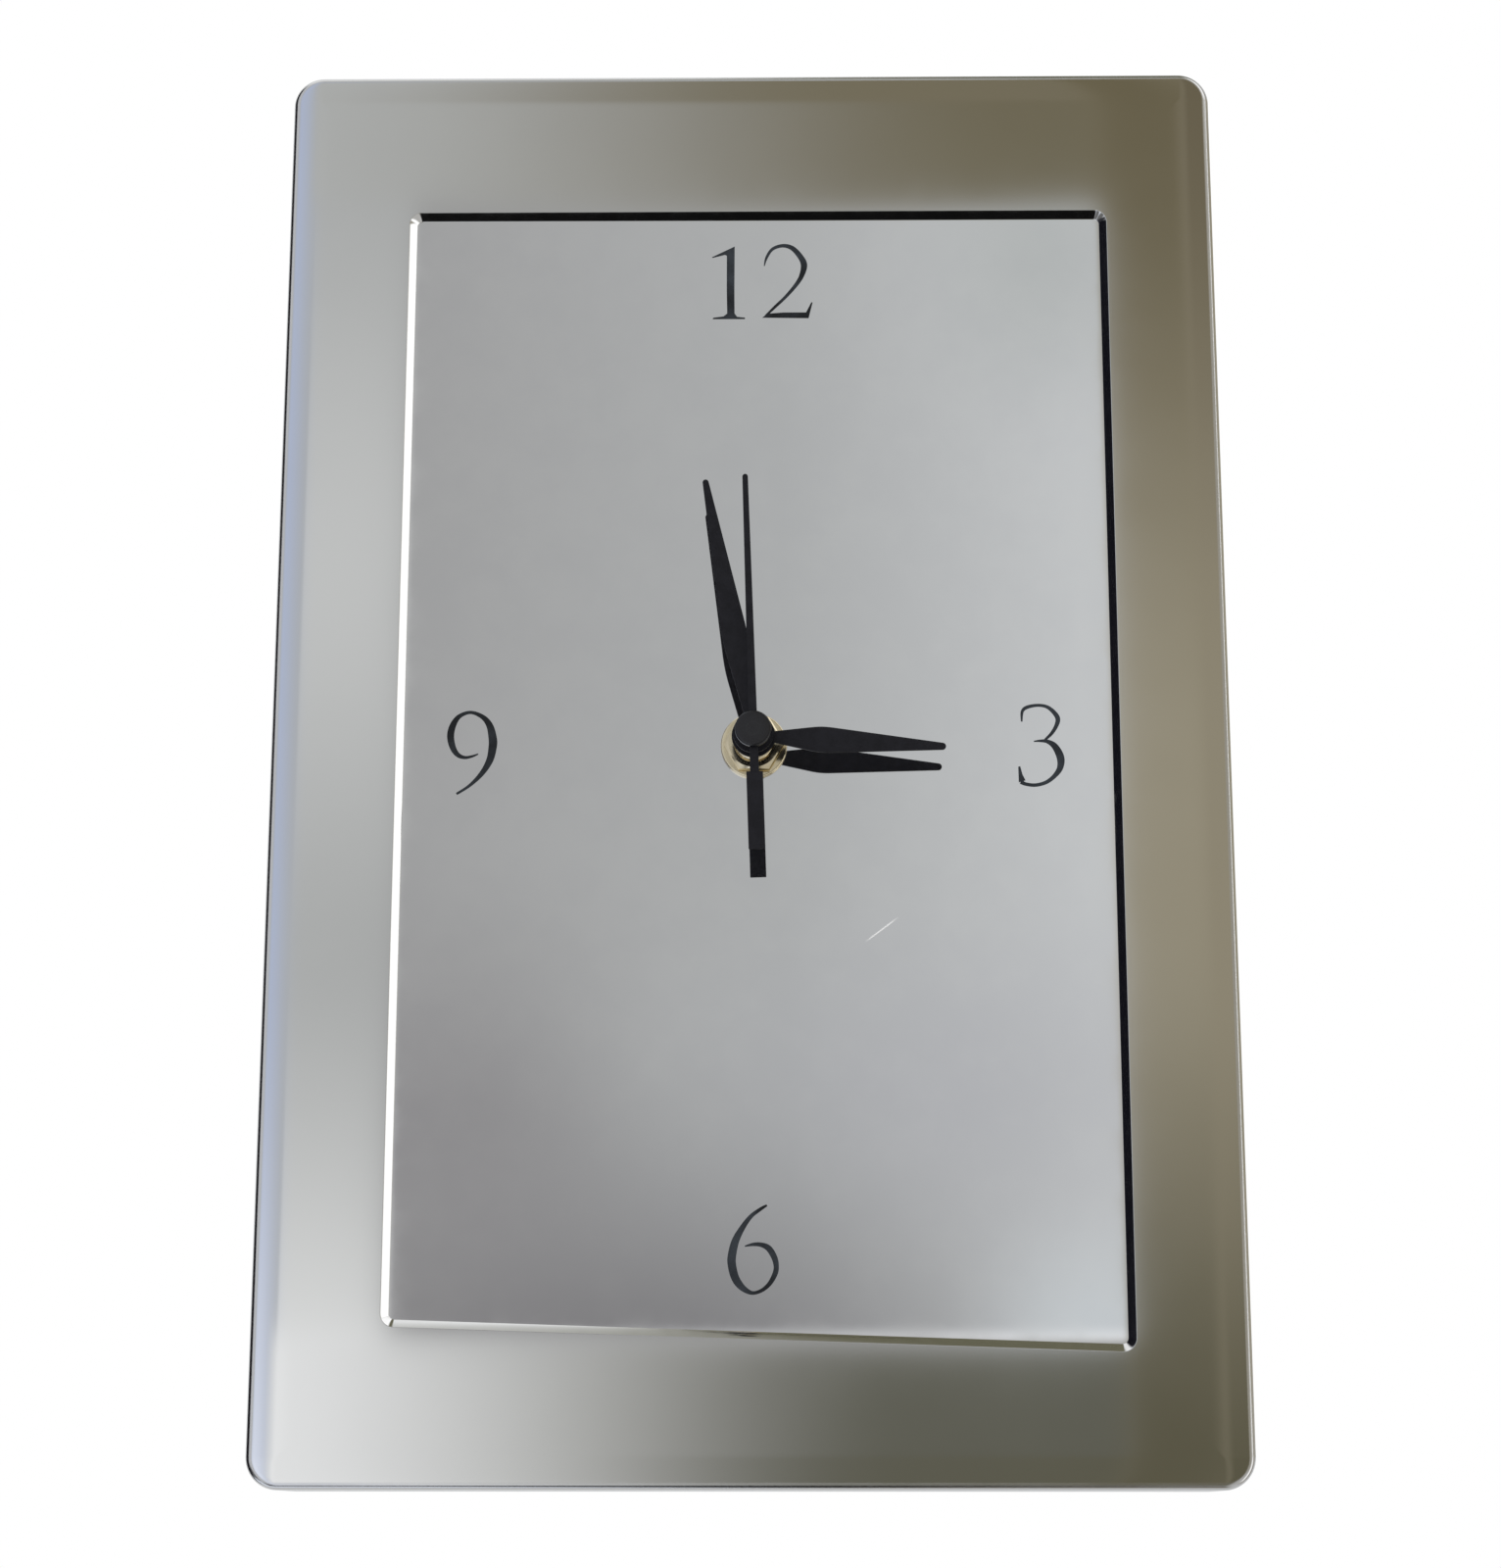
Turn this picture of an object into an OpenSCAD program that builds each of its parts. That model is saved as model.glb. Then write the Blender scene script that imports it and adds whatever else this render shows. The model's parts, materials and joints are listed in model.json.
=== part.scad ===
// Framed wall clock: a folded metal frame round a polished dial plate, with a quartz movement behind.
// Sizes are in mm. The part stands upright: +X right, +Y into the wall, +Z up, the dial faces -Y.
// The origin is the centre of the hanging hole. Modules are drawn lying down, face up, with the
// wall plane at z = 0 and the hand axis at x = 0, y = 0, and stand_up() puts them in place.
// The hand axis and the cut-out do not lie quite in the middle of the frame, as on the real clock.

/* [Frame] */
// outer width of the frame
frame_w = 200; // [160:1:260]
// outer height of the frame
frame_h = 302.5; // [260:0.5:360]
// depth from the wall to the front face
frame_d = 26.4; // [25:0.1:36]
// sheet thickness of the frame
sheet = 1.2; // [0.8:0.1:1.4]
// radius of the outer corners seen from the front
corner_r = 6.5; // [5:0.5:9]
// rounding of the front edge
edge_r = 2; // [1.8:0.1:4]
// width of the flange that lies on the wall
flange_w = 8; // [7:0.5:10]
// how far the hand axis lies right of the middle of the frame
axis_off = 0.8; // [0:0.1:1.5]

/* [Opening] */
// width of the opening
open_w = 147.7; // [120:0.1:170]
// how far the middle of the opening lies right of the hand axis
open_off = 0.8; // [0:0.1:1]
// height of the opening above the hand axis
open_up = 118.3; // [100:0.1:125]
// height of the opening below the hand axis at the left
open_down = 117.9; // [100:0.1:122]
// how much lower the right end of the bottom edge lies
open_slant = 4.9; // [0:0.1:5]
// corner radius of the opening
open_r = 1.2; // [0.8:0.1:1.6]
// leg of the bevel on the lip
lip_bevel = 0.9; // [0.5:0.1:1]
// width of the lip
lip_w = 2.3; // [2:0.1:3]
// how far the dial lies behind the front face
dial_sink = 1.4; // [1.4:0.1:2.2]

/* [Dial and board] */
// thickness of the dial plate
dial_t = 1.2; // [0.8:0.1:1.6]
// overlap of the dial plate behind the frame
dial_lap = 11; // [10:0.5:13]
// thickness of the backing board
board_t = 3; // [2.5:0.1:3.5]
// radius of the corners of plate and board
plate_r = 3; // [1:0.5:6]
// diameter of the welded studs
stud_d = 3; // [2.5:0.5:3.5]
// distance of the studs outside the opening
stud_out = 7; // [6:0.5:8]
// spacing of the studs up each side
stud_pitch = 105; // [80:1:110]
// width across flats of the stud nuts
stud_nut_af = 5.5; // [5:0.5:6]
// thickness of the stud nuts
stud_nut_t = 2.4; // [2:0.1:2.6]
// diameter of the stud washers
stud_washer_d = 7; // [6.5:0.5:7.5]
// thickness of the stud washers
stud_washer_t = 0.6; // [0.5:0.1:0.8]

/* [Hanger] */
// width of the hanger plate
hanger_w = 36; // [32:1:50]
// height of the hanger plate
hanger_h = 27; // [26:1:36]
// thickness of the hanger plate
hanger_t = 1.2; // [1:0.1:1.5]
// diameter of the hanging hole
hang_hole_d = 9; // [8:0.5:10]
// width of the slot above the hanging hole
hang_slot_w = 4.6; // [4:0.2:5]
// height of the slot above the hole centre
hang_slot_h = 7.5; // [7:0.5:9]
// spacing of the rivets
rivet_pitch = 24; // [22:1:26]
// diameter of the rivets
rivet_d = 3; // [2.5:0.5:3.2]

/* [Movement case] */
// depth of the movement case
case_d = 15.8; // [15.8:0.1:17]
// wall of the movement case
case_wall = 1.2; // [1:0.1:1.4]
// front wall of the movement case
case_front = 1; // [0.8:0.1:1.2]
// corner radius of the movement case
case_r = 3; // [2:0.5:5]
// thickness of the rubber gasket
gasket_t = 0.8; // [0.6:0.1:1]
// diameter of the rubber gasket
gasket_d = 20; // [16:1:24]
// diameter of the cell
cell_d = 14.2; // [13.8:0.1:14.4]
// length of the cell without its cap
cell_l = 49.1; // [48.6:0.1:49.3]
// room for the spring leaf at the flat end of the cell
leaf_room = 2.9; // [2:0.1:4]

/* [Clamping nut] */
// diameter of the threaded bush
bush_d = 8; // [7.6:0.1:8.4]
// height of the bush above the dial
bush_up = 5; // [4.6:0.1:5.4]
// diameter of the brass washer
washer_d = 13.8; // [13:0.1:16]
// thickness of the brass washer
washer_t = 1; // [0.6:0.1:1.2]
// width across flats of the hex nut
nut_af = 11; // [10:0.1:11.8]
// thickness of the hex nut
nut_t = 2.5; // [2:0.1:3]

/* [Hands] */
// height of the hour hand above the dial
hour_up = 9; // [8.6:0.1:9.2]
// height of the minute hand above the dial
minute_up = 11.6; // [11.4:0.1:11.8]
// height of the second hand above the dial
second_up = 14.4; // [14.2:0.1:15]
// length of the hour hand
hour_l = 39.6; // [30:0.2:50]
// length of the minute hand
minute_l = 55.4; // [40:0.2:65]
// length of the second hand
second_l = 54.8; // [40:0.2:65]
// greatest width of the hour hand
hour_w = 5.4; // [4:0.1:7]
// greatest width of the minute hand
minute_w = 5.2; // [4:0.1:7]
// thickness of the blades
blade_t = 0.5; // [0.4:0.05:0.6]
// hour hand at rest, degrees clockwise from the top
hour_at = 93.4; // [0:0.1:360]
// minute hand at rest, degrees clockwise from the top
minute_at = 349.5; // [0:0.1:360]
// second hand at rest, degrees clockwise from the top
second_at = 358.2; // [0:0.1:360]

/* [Gear train] */
// module of the rotor stage
rotor_m = 0.36; // [0.34:0.01:0.36]
// module of the stage that drives the second wheel
fifth_m = 0.45; // [0.44:0.01:0.46]
// module of the stage from second wheel to third wheel
third_m = 0.34; // [0.33:0.01:0.345]
// module of the stage from minute pipe to motion wheel
motion_m = 0.4; // [0.38:0.01:0.42]
// play between meshing teeth
tooth_play = 0.12; // [0.08:0.01:0.14]
// thickness of the wheels
wheel_t = 0.9; // [0.7:0.1:0.9]

/* [Fits] */
// radial clearance of a running fit
run_gap = 0.05; // [0.03:0.01:0.08]
// clearance round a fixed piece in its hole
loose_gap = 0.2; // [0.1:0.05:0.3]

/* [Hidden] */
$fn = 96;
dial_z = frame_d - dial_sink;
board_z = dial_z - dial_t;
gasket_z = board_z - board_t;
case_z = gasket_z - gasket_t;
rear_z = case_z - case_d;
floor_z = rear_z + case_wall;
roof_z = case_z - case_front;
hang_y = frame_h / 2 - sheet - hanger_h + 8;
hang_z = sheet;
half_open = open_w / 2;

// corners of the opening, counter-clockwise from the lower left
open_pts = [
    [open_off - half_open, -open_down],
    [open_off + half_open, -open_down - open_slant],
    [open_off + half_open, open_up],
    [open_off - half_open, open_up]
];
slant_angle = atan(open_slant / open_w);
// direction in which each side of the opening runs, and the turn at the corner before it
side_dir = [-slant_angle, 90, 180, 270];
corner_turn = [90 - slant_angle, 90 + slant_angle, 90, 90];
// centre of each corner arc
open_mid = [for (i = [0:3])
    open_pts[i] + open_r / sin(90 - corner_turn[i] / 2)
        * [cos(side_dir[i] + 90 - corner_turn[i] / 2), sin(side_dir[i] + 90 - corner_turn[i] / 2)]];

// studs: three up each side
stud_x = half_open + stud_out;
stud_pts = [for (sx = [-1, 1], row = [-1:1]) [open_off + sx * stud_x, row * stud_pitch]];

// tooth numbers of the train, wheel and the pinion that meshes with it
rotor_pinion_n = 8;
fifth_wheel_n = 48;
fifth_pinion_n = 8;
second_wheel_n = 40;
second_pinion_n = 8;
third_wheel_n = 60;
third_pinion_n = 8;
centre_wheel_n = 64;
minute_pinion_n = 12;
motion_wheel_n = 36;
motion_pinion_n = 10;
hour_wheel_n = 40;
setting_pinion_n = 16;
// shift of the teeth of every pinion; its wheel takes the same amount off
pinion_shift = 0.35;
// modules that make the coaxial wheels share one centre distance
centre_m = third_m * (second_pinion_n + third_wheel_n) / (third_pinion_n + centre_wheel_n);
hour_m = motion_m * (minute_pinion_n + motion_wheel_n) / (motion_pinion_n + hour_wheel_n);
// directions from one axis to the next
third_dir = 150;
fifth_dir = 75;
rotor_dir = 20;
motion_dir = 0;
setting_dir = 0;
function axis_gap(m, a, b) = m * (a + b) / 2;
function toward(angle, d) = d * [cos(angle), sin(angle)];
third_xy = toward(third_dir, axis_gap(third_m, second_pinion_n, third_wheel_n));
fifth_xy = toward(fifth_dir, axis_gap(fifth_m, fifth_pinion_n, second_wheel_n));
rotor_xy = fifth_xy + toward(rotor_dir, axis_gap(rotor_m, rotor_pinion_n, fifth_wheel_n));
motion_xy = toward(motion_dir, axis_gap(motion_m, minute_pinion_n, motion_wheel_n));
setting_xy = motion_xy + toward(setting_dir, axis_gap(motion_m, setting_pinion_n, motion_wheel_n));
// heights of the wheel layers above the floor of the case, from the rear
second_layer = floor_z + 1.6;
fifth_layer = second_layer + wheel_t + 0.8;
third_layer = fifth_layer + wheel_t + 0.8;
centre_layer = third_layer + wheel_t + 0.8;
motion_layer = centre_layer + wheel_t + 1;
hour_layer = motion_layer + wheel_t + 1.2;
pinion_lap = 0.2;

// pipes and arbors, from the inside out
arbor_r = 0.45;
minute_pipe_r = 1.6;
hour_pipe_r = 2.5;
pin_r = 0.5;

// heights of the hands
hour_z = dial_z + hour_up;
minute_z = dial_z + minute_up;
second_z = dial_z + second_up;
hour_eye_r = 4.5;
minute_eye_r = 4.2;
cap_r = 3.75;
cap_t = 1.1;
socket_r = 0.85;
minute_nut_t = 1;

// size of the movement case: as wide as the cell with its contacts or the setting work needs, and
// as high as the wheels need between the battery bay and the coil
cell_r = cell_d / 2;
cell_nub = 1.2;
contact_t = 0.4;
bay_wall_t = 0.9;
bay_gap = 0.25;
wheel_room = 0.7;
centre_tip_r = centre_m * (centre_wheel_n / 2 + 0.85 - pinion_shift);
fifth_tip_r = rotor_m * (fifth_wheel_n / 2 + 0.85 - pinion_shift);
setting_tip_r = motion_m * (setting_pinion_n / 2 + 0.85 + pinion_shift);
bay_end = max((cell_l + cell_nub + contact_t + leaf_room) / 2, setting_xy.x + setting_tip_r + wheel_room);
half_case = bay_end + case_wall;
bay_wall_y = -centre_tip_r - wheel_room - bay_wall_t;
cell_y = bay_wall_y - bay_gap - cell_r;
case_low = cell_r - cell_y + bay_gap + case_wall;
cell_z = roof_z - cell_r - bay_gap;
cell_x = bay_end - contact_t - cell_nub - cell_l;

// stepping motor
stator_t = 1;
stator_gap = 0.5;
stator_z = third_layer + wheel_t + stator_gap;
rotor_r = 2.9;
pole_w = 3;
post_r = 1.2;
coil_r = 3.3;
coil_l = 16;
coil_y = fifth_xy.y + fifth_tip_r + wheel_room + coil_r;
coil_x = 1;
core_w = 3;
core_t = 1;
core_half = coil_l / 2 + core_w + 1.5;
case_high = coil_y + coil_r + bay_gap + case_wall;

// rim and snap hooks of the rear cover, and the windows that the hooks catch
rim_gap = 0.1;
rim_h = 1;
snap_t = 0.8;
snap_w = 6;
snap_rise = 2.6;
snap_h = 1.2;
snap_gap = 0.15;
snap_y = [bay_wall_y + 9, coil_y - coil_r];

// electronics, beside the third wheel
boss_r = 1.4;
knob_r = 5.4;
board_rise = 0.8;
circuit_t = 1;
circuit_gap = 0.4;
circuit_x = -bay_end + rim_gap + snap_t + circuit_gap;
circuit_w = third_xy.x - boss_r - 2 * circuit_gap - circuit_x;
circuit_y = bay_wall_y + bay_wall_t + rim_gap + 1;
circuit_h = coil_y - coil_r - circuit_y;

// stands a face-up drawing upright with the hanging hole at the origin
module stand_up() {
    translate([axis_off, hang_z, -hang_y])
        rotate([90, 0, 0])
            children();
}

// flat rectangle with round corners, centred
module round_rect(w, h, r) {
    square([w - 2 * r, h], center = true);
    square([w, h - 2 * r], center = true);
    for (sx = [-1, 1], sy = [-1, 1])
        translate([sx * (w / 2 - r), sy * (h / 2 - r)])
            circle(r);
}

// profile that rounds an edge where it is cut away
module edge_cut(er) {
    difference() {
        square(er + 1);
        circle(er);
    }
}

// block with round corners and a rounded top edge
module pillow_block(w, h, d, r, er) {
    difference() {
        linear_extrude(d)
            round_rect(w, h, r);
        translate([0, 0, d - er]) {
            for (k = [0:3]) {
                long = k % 2 == 0 ? h : w;
                half = k % 2 == 0 ? w / 2 : h / 2;
                rotate([0, 0, 90 * k])
                    translate([half - er, long / 2 - r, 0])
                        rotate([90, 0, 0])
                            linear_extrude(long - 2 * r)
                                edge_cut(er);
            }
            for (k = [0:3]) {
                sx = k == 0 || k == 3 ? 1 : -1;
                sy = k < 2 ? 1 : -1;
                translate([sx * (w / 2 - r), sy * (h / 2 - r), 0])
                    rotate([0, 0, 90 * k])
                        rotate_extrude(angle = 90)
                            translate([r - er, 0])
                                edge_cut(er);
            }
        }
    }
}

// the opening, made larger by "out" on every side
module open_shape(out) {
    r = open_r + out;
    polygon([for (i = [0:3], k = [0, 1])
        open_mid[i] + r * [
            cos(side_dir[i] - 90 - (1 - k) * corner_turn[i]),
            sin(side_dir[i] - 90 - (1 - k) * corner_turn[i])]]);
    for (i = [0:3])
        translate(open_mid[i])
            circle(r);
}

// everything above the four bevel planes of the lip: a funnel that widens to the front
module lip_funnel() {
    reach = open_w + open_up + open_down + open_slant;
    intersection_for (i = [0:3])
        translate([open_pts[i].x, open_pts[i].y, frame_d - lip_bevel])
            rotate([0, 0, side_dir[i]])
                rotate([-45, 0, 0])
                    translate([-reach, -reach, 0])
                        cube([3 * reach, 2 * reach, reach]);
}

module frame() {
    color("silver")
    stand_up()
        difference() {
            union() {
                difference() {
                    translate([-axis_off, 0, 0])
                        pillow_block(frame_w, frame_h, frame_d, corner_r, edge_r);
                    translate([-axis_off, 0, sheet])
                        pillow_block(frame_w - 2 * sheet, frame_h - 2 * sheet, frame_d - 2 * sheet,
                            corner_r - sheet, edge_r - sheet);
                    translate([-axis_off, 0, -1])
                        linear_extrude(sheet + 2)
                            round_rect(frame_w - 2 * flange_w, frame_h - 2 * flange_w, corner_r - 2);
                    for (s = [-1, 1])
                        translate([s * rivet_pitch / 2 - axis_off, frame_h / 2 - sheet - 3.4, -1])
                            cylinder(h = sheet + 2, d = rivet_d);
                }
                // folded edge that the dial rests against
                translate([0, 0, dial_z])
                    linear_extrude(dial_sink - sheet / 2)
                        open_shape(lip_w);
            }
            translate([0, 0, dial_z - 1])
                linear_extrude(dial_sink + 2)
                    open_shape(0);
            lip_funnel();
        }
}

module frame_studs() {
    end_z = gasket_z - stud_washer_t - stud_nut_t - 0.8;
    color("gray")
    stand_up()
        for (p = stud_pts)
            translate([p.x, p.y, end_z])
                cylinder(h = frame_d - sheet - end_z, d = stud_d);
}

// outline shared by the dial plate and the board
module plate_outline() {
    low = open_down + open_slant + dial_lap;
    high = open_up + dial_lap;
    translate([open_off, (high - low) / 2])
        round_rect(open_w + 2 * dial_lap, high + low, plate_r);
}

module stud_holes() {
    for (p = stud_pts)
        translate(p)
            circle(d = stud_d + 2 * loose_gap);
}

module dial_plate() {
    color("gainsboro")
    stand_up()
        translate([0, 0, board_z])
            linear_extrude(dial_t)
                difference() {
                    plate_outline();
                    stud_holes();
                    circle(d = bush_d + 2 * loose_gap);
                }
}

module backing_board() {
    color("peru")
    stand_up()
        translate([0, 0, gasket_z])
            linear_extrude(board_t)
                difference() {
                    plate_outline();
                    stud_holes();
                    circle(d = bush_d + 2 * loose_gap);
                }
}

module stud_washers() {
    color("lightgray")
    stand_up()
        for (p = stud_pts)
            translate([p.x, p.y, gasket_z - stud_washer_t])
                linear_extrude(stud_washer_t)
                    difference() {
                        circle(d = stud_washer_d);
                        circle(d = stud_d + 2 * loose_gap);
                    }
}

module stud_nuts() {
    color("lightgray")
    stand_up()
        for (p = stud_pts)
            translate([p.x, p.y, gasket_z - stud_washer_t - stud_nut_t])
                linear_extrude(stud_nut_t)
                    difference() {
                        circle(r = stud_nut_af / 2 / cos(30), $fn = 6);
                        circle(d = stud_d);
                    }
}

module hanger_plate() {
    color("lightgray")
    stand_up()
        translate([-axis_off, 0, sheet])
            linear_extrude(hanger_t)
                difference() {
                    translate([0, frame_h / 2 - sheet - 0.4 - hanger_h / 2])
                        round_rect(hanger_w, hanger_h, 2.5);
                    translate([0, hang_y])
                        circle(d = hang_hole_d);
                    translate([-hang_slot_w / 2, hang_y])
                        square([hang_slot_w, hang_slot_h]);
                    translate([0, hang_y + hang_slot_h])
                        circle(d = hang_slot_w);
                    for (s = [-1, 1])
                        translate([s * rivet_pitch / 2, frame_h / 2 - sheet - 3.4])
                            circle(d = rivet_d);
                }
}

module hanger_rivets() {
    color("gray")
    stand_up()
        for (s = [-1, 1])
            translate([s * rivet_pitch / 2 - axis_off, frame_h / 2 - sheet - 3.4, 0]) {
                cylinder(h = sheet + hanger_t + 0.2, d = rivet_d);
                translate([0, 0, sheet + hanger_t])
                    cylinder(h = 0.9, d1 = rivet_d + 2.2, d2 = rivet_d);
            }
}

module case_outline(inset) {
    translate([0, (case_high - case_low) / 2])
        round_rect(2 * (half_case - inset), case_high + case_low - 2 * inset, case_r - inset / 2);
}

// round post from the roof of the case down to a height
module roof_post(xy, low, r) {
    translate([xy.x, xy.y, low])
        cylinder(h = roof_z - low + 0.2, r = r);
}

// round post from the floor of the rear cover up to a height
module floor_post(xy, high, r) {
    translate([xy.x, xy.y, floor_z - 0.2])
        cylinder(h = high - floor_z + 0.2, r = r);
}

module front_case() {
    color("dimgray")
    stand_up()
        difference() {
            union() {
                translate([0, 0, roof_z])
                    linear_extrude(case_front)
                        case_outline(0);
                translate([0, 0, floor_z])
                    linear_extrude(case_z - floor_z)
                        difference() {
                            case_outline(0);
                            case_outline(case_wall);
                        }
                // wall between the wheels and the battery bay
                translate([-half_case + case_wall / 2, bay_wall_y, floor_z])
                    cube([2 * half_case - case_wall, bay_wall_t, roof_z - floor_z + 0.2]);
                // ribs that cradle the cell
                for (s = [-1, 1])
                    translate([s * cell_l * 0.3 - 0.5, -case_low + case_wall / 2, cell_z])
                        cube([1, bay_wall_y + case_low - case_wall / 2 + 0.2, roof_z - cell_z + 0.2]);
                roof_post(third_xy, roof_z - 1.4, boss_r);
                roof_post(rotor_xy, roof_z - 1.4, boss_r);
                roof_post(setting_xy, roof_z - 1.4, boss_r + 0.6);
                roof_post(motion_xy, motion_layer - 0.5, 0.7);
                roof_post(rotor_xy + [rotor_r + pole_w / 2 + 0.2, 0], stator_z + stator_t, post_r);
                for (s = [-1, 1])
                    roof_post([coil_x + s * (core_half - core_w / 2 - 0.5), coil_y],
                        stator_z + stator_t + core_t, post_r);
            }
            // bed of the cell
            translate([cell_x - 1, cell_y, cell_z])
                rotate([0, 90, 0])
                    cylinder(h = cell_l + 2, r = cell_r + run_gap);
            // windows for the snap hooks
            for (s = [-1, 1], y = snap_y)
                translate([s * half_case, y, floor_z + snap_rise + snap_h / 2])
                    cube([4 * case_wall, snap_w + 4 * snap_gap, snap_h + 2 * snap_gap], center = true);
            translate([0, 0, roof_z - 2])
                cylinder(h = case_front + 4, d = bush_d);
            for (p = [third_xy, rotor_xy])
                translate([p.x, p.y, roof_z - 2])
                    cylinder(h = 2, r = pin_r + run_gap);
            translate([setting_xy.x, setting_xy.y, roof_z - 2])
                cylinder(h = 2, r = pin_r + 0.4 + run_gap);
        }
}

module rear_cover() {
    bay_top = bay_wall_y - bay_gap;
    bay_low = -case_low + case_wall + bay_gap;
    color("dimgray")
    stand_up()
        difference() {
            union() {
                translate([0, 0, rear_z])
                    linear_extrude(case_wall)
                        case_outline(0);
                // rim that finds the inside of the front case, clear of the bay wall
                translate([0, 0, floor_z - 0.2])
                    linear_extrude(rim_h + 0.2)
                        difference() {
                            case_outline(case_wall + rim_gap);
                            case_outline(case_wall + rim_gap + snap_t);
                            translate([-half_case, -case_low])
                                square([2 * half_case, bay_wall_y + bay_wall_t + case_low + rim_gap]);
                        }
                // snap tongues, each with a hook in its window
                for (s = [-1, 1], y = snap_y) {
                    translate([s * (half_case - case_wall - rim_gap - snap_t / 2), y, floor_z - 0.2])
                        translate([-snap_t / 2, -snap_w / 2, 0])
                            cube([snap_t, snap_w, snap_rise + snap_h + 0.2]);
                    translate([s * (half_case - case_wall - rim_gap - snap_t / 2), y, floor_z + snap_rise])
                        rotate([90, 0, 0])
                            linear_extrude(snap_w, center = true)
                                polygon([
                                    [0, 0],
                                    [s * (snap_t / 2 + rim_gap + case_wall * 0.8), 0],
                                    [s * (snap_t / 2 + rim_gap + 0.2), snap_h],
                                    [0, snap_h]
                                ]);
                }
                // collar round the setting knob
                translate([setting_xy.x, setting_xy.y, rear_z - 0.5])
                    cylinder(h = 0.7, r = knob_r - 1.4);
                floor_post([0, 0], second_layer - pinion_lap - 0.3, boss_r);
                floor_post(third_xy, floor_z + 1.3, boss_r);
                floor_post(rotor_xy, floor_z + 1.3, boss_r);
                floor_post(fifth_xy, second_layer - pinion_lap - 0.3, boss_r);
                floor_post(fifth_xy, fifth_layer + wheel_t + 0.4, pin_r);
                floor_post(setting_xy, floor_z + 2, 2.4);
                // pads under the circuit board
                for (sy = [0, 1])
                    floor_post([circuit_x + 4, circuit_y + 4 + sy * (circuit_h - 8)],
                        floor_z + board_rise, boss_r);
            }
            // open battery bay
            translate([-bay_end + bay_gap, bay_low, rear_z - 1])
                cube([2 * (bay_end - bay_gap), bay_top - bay_low, case_wall + 3]);
            for (p = [[0, 0], third_xy, rotor_xy])
                translate([p.x, p.y, floor_z - 0.4])
                    cylinder(h = 4, r = (p == [0, 0] ? arbor_r : pin_r) + run_gap);
            translate([setting_xy.x, setting_xy.y, rear_z - 1])
                cylinder(h = 8, r = 1.3 + run_gap);
        }
}

module rubber_gasket() {
    color("black")
    stand_up()
        translate([0, 0, case_z])
            linear_extrude(gasket_t)
                difference() {
                    circle(d = gasket_d);
                    circle(d = bush_d + 2 * loose_gap);
                }
}

module threaded_bush() {
    color("goldenrod")
    stand_up()
        difference() {
            union() {
                translate([0, 0, roof_z - 0.8])
                    cylinder(h = 0.8, r = bush_d / 2 + 1.2);
                translate([0, 0, roof_z - 0.8])
                    cylinder(h = dial_z + bush_up - roof_z + 0.8, d = bush_d);
            }
            translate([0, 0, roof_z - 2])
                cylinder(h = frame_d + bush_up, r = hour_pipe_r + run_gap);
        }
}

module brass_washer() {
    color("goldenrod")
    stand_up()
        translate([0, 0, dial_z])
            rotate_extrude()
                polygon([
                    [bush_d / 2 + loose_gap, 0],
                    [washer_d / 2, 0],
                    [washer_d / 2, washer_t - 0.2],
                    [washer_d / 2 - 0.2, washer_t],
                    [bush_d / 2 + loose_gap, washer_t]
                ]);
}

module hex_nut() {
    tip_r = nut_af / 2 / cos(30);
    color("goldenrod")
    stand_up()
        translate([0, 0, dial_z + washer_t])
            difference() {
                intersection() {
                    cylinder(h = nut_t, r = tip_r, $fn = 6);
                    rotate_extrude()
                        polygon([
                            [0, 0],
                            [tip_r, 0],
                            [tip_r, nut_t - 0.6],
                            [nut_af / 2 - 0.2, nut_t],
                            [0, nut_t]
                        ]);
                }
                translate([0, 0, -1])
                    cylinder(h = nut_t + 2, d = bush_d);
            }
}

// two arms that lead from the coil core to the ring of poles round the rotor
module stator() {
    arm_w = core_w + 1;
    left = coil_x - core_half;
    right = coil_x + core_half;
    color("slategray")
    stand_up()
        translate([0, 0, stator_z])
            linear_extrude(stator_t)
                difference() {
                    union() {
                        translate(rotor_xy)
                            circle(r = rotor_r + pole_w);
                        translate([right - arm_w, rotor_xy.y])
                            square([arm_w, coil_y + core_w / 2 - rotor_xy.y]);
                        translate([left, rotor_xy.y - arm_w / 2])
                            square([arm_w, coil_y + core_w / 2 - rotor_xy.y + arm_w / 2]);
                        translate([left, rotor_xy.y - arm_w / 2])
                            square([rotor_xy.x - left, arm_w]);
                    }
                    translate(rotor_xy)
                        circle(r = rotor_r + 0.5);
                }
}

module coil_core() {
    color("slategray")
    stand_up()
        translate([coil_x - core_half, coil_y - core_w / 2, stator_z + stator_t])
            cube([2 * core_half, core_w, core_t]);
}

// places the coil axis along x through the core
module on_coil() {
    translate([coil_x, coil_y, stator_z + stator_t + core_t / 2])
        rotate([0, 90, 0])
            children();
}

module coil_bobbin() {
    color("ivory")
    stand_up()
        on_coil()
            difference() {
                union() {
                    cylinder(h = coil_l, r = 2.1, center = true);
                    for (s = [-1, 1])
                        translate([0, 0, s * (coil_l / 2 - 0.4)])
                            cylinder(h = 0.8, r = coil_r, center = true);
                }
                cube([core_t, core_w, coil_l + 2], center = true);
            }
}

module coil_winding() {
    color("chocolate")
    stand_up()
        on_coil()
            difference() {
                cylinder(h = coil_l - 1.6, r = coil_r - 0.3, center = true);
                cylinder(h = coil_l, r = 2.1, center = true);
            }
}

module circuit_board() {
    color("darkgreen")
    stand_up()
        translate([circuit_x, circuit_y, floor_z + board_rise])
            cube([circuit_w, circuit_h, circuit_t]);
}

module driver_chip() {
    color("black")
    stand_up()
        translate([circuit_x + 7, circuit_y + 8, floor_z + board_rise + circuit_t])
            cylinder(h = 1.2, r1 = 2.8, r2 = 1.6);
}

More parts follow.
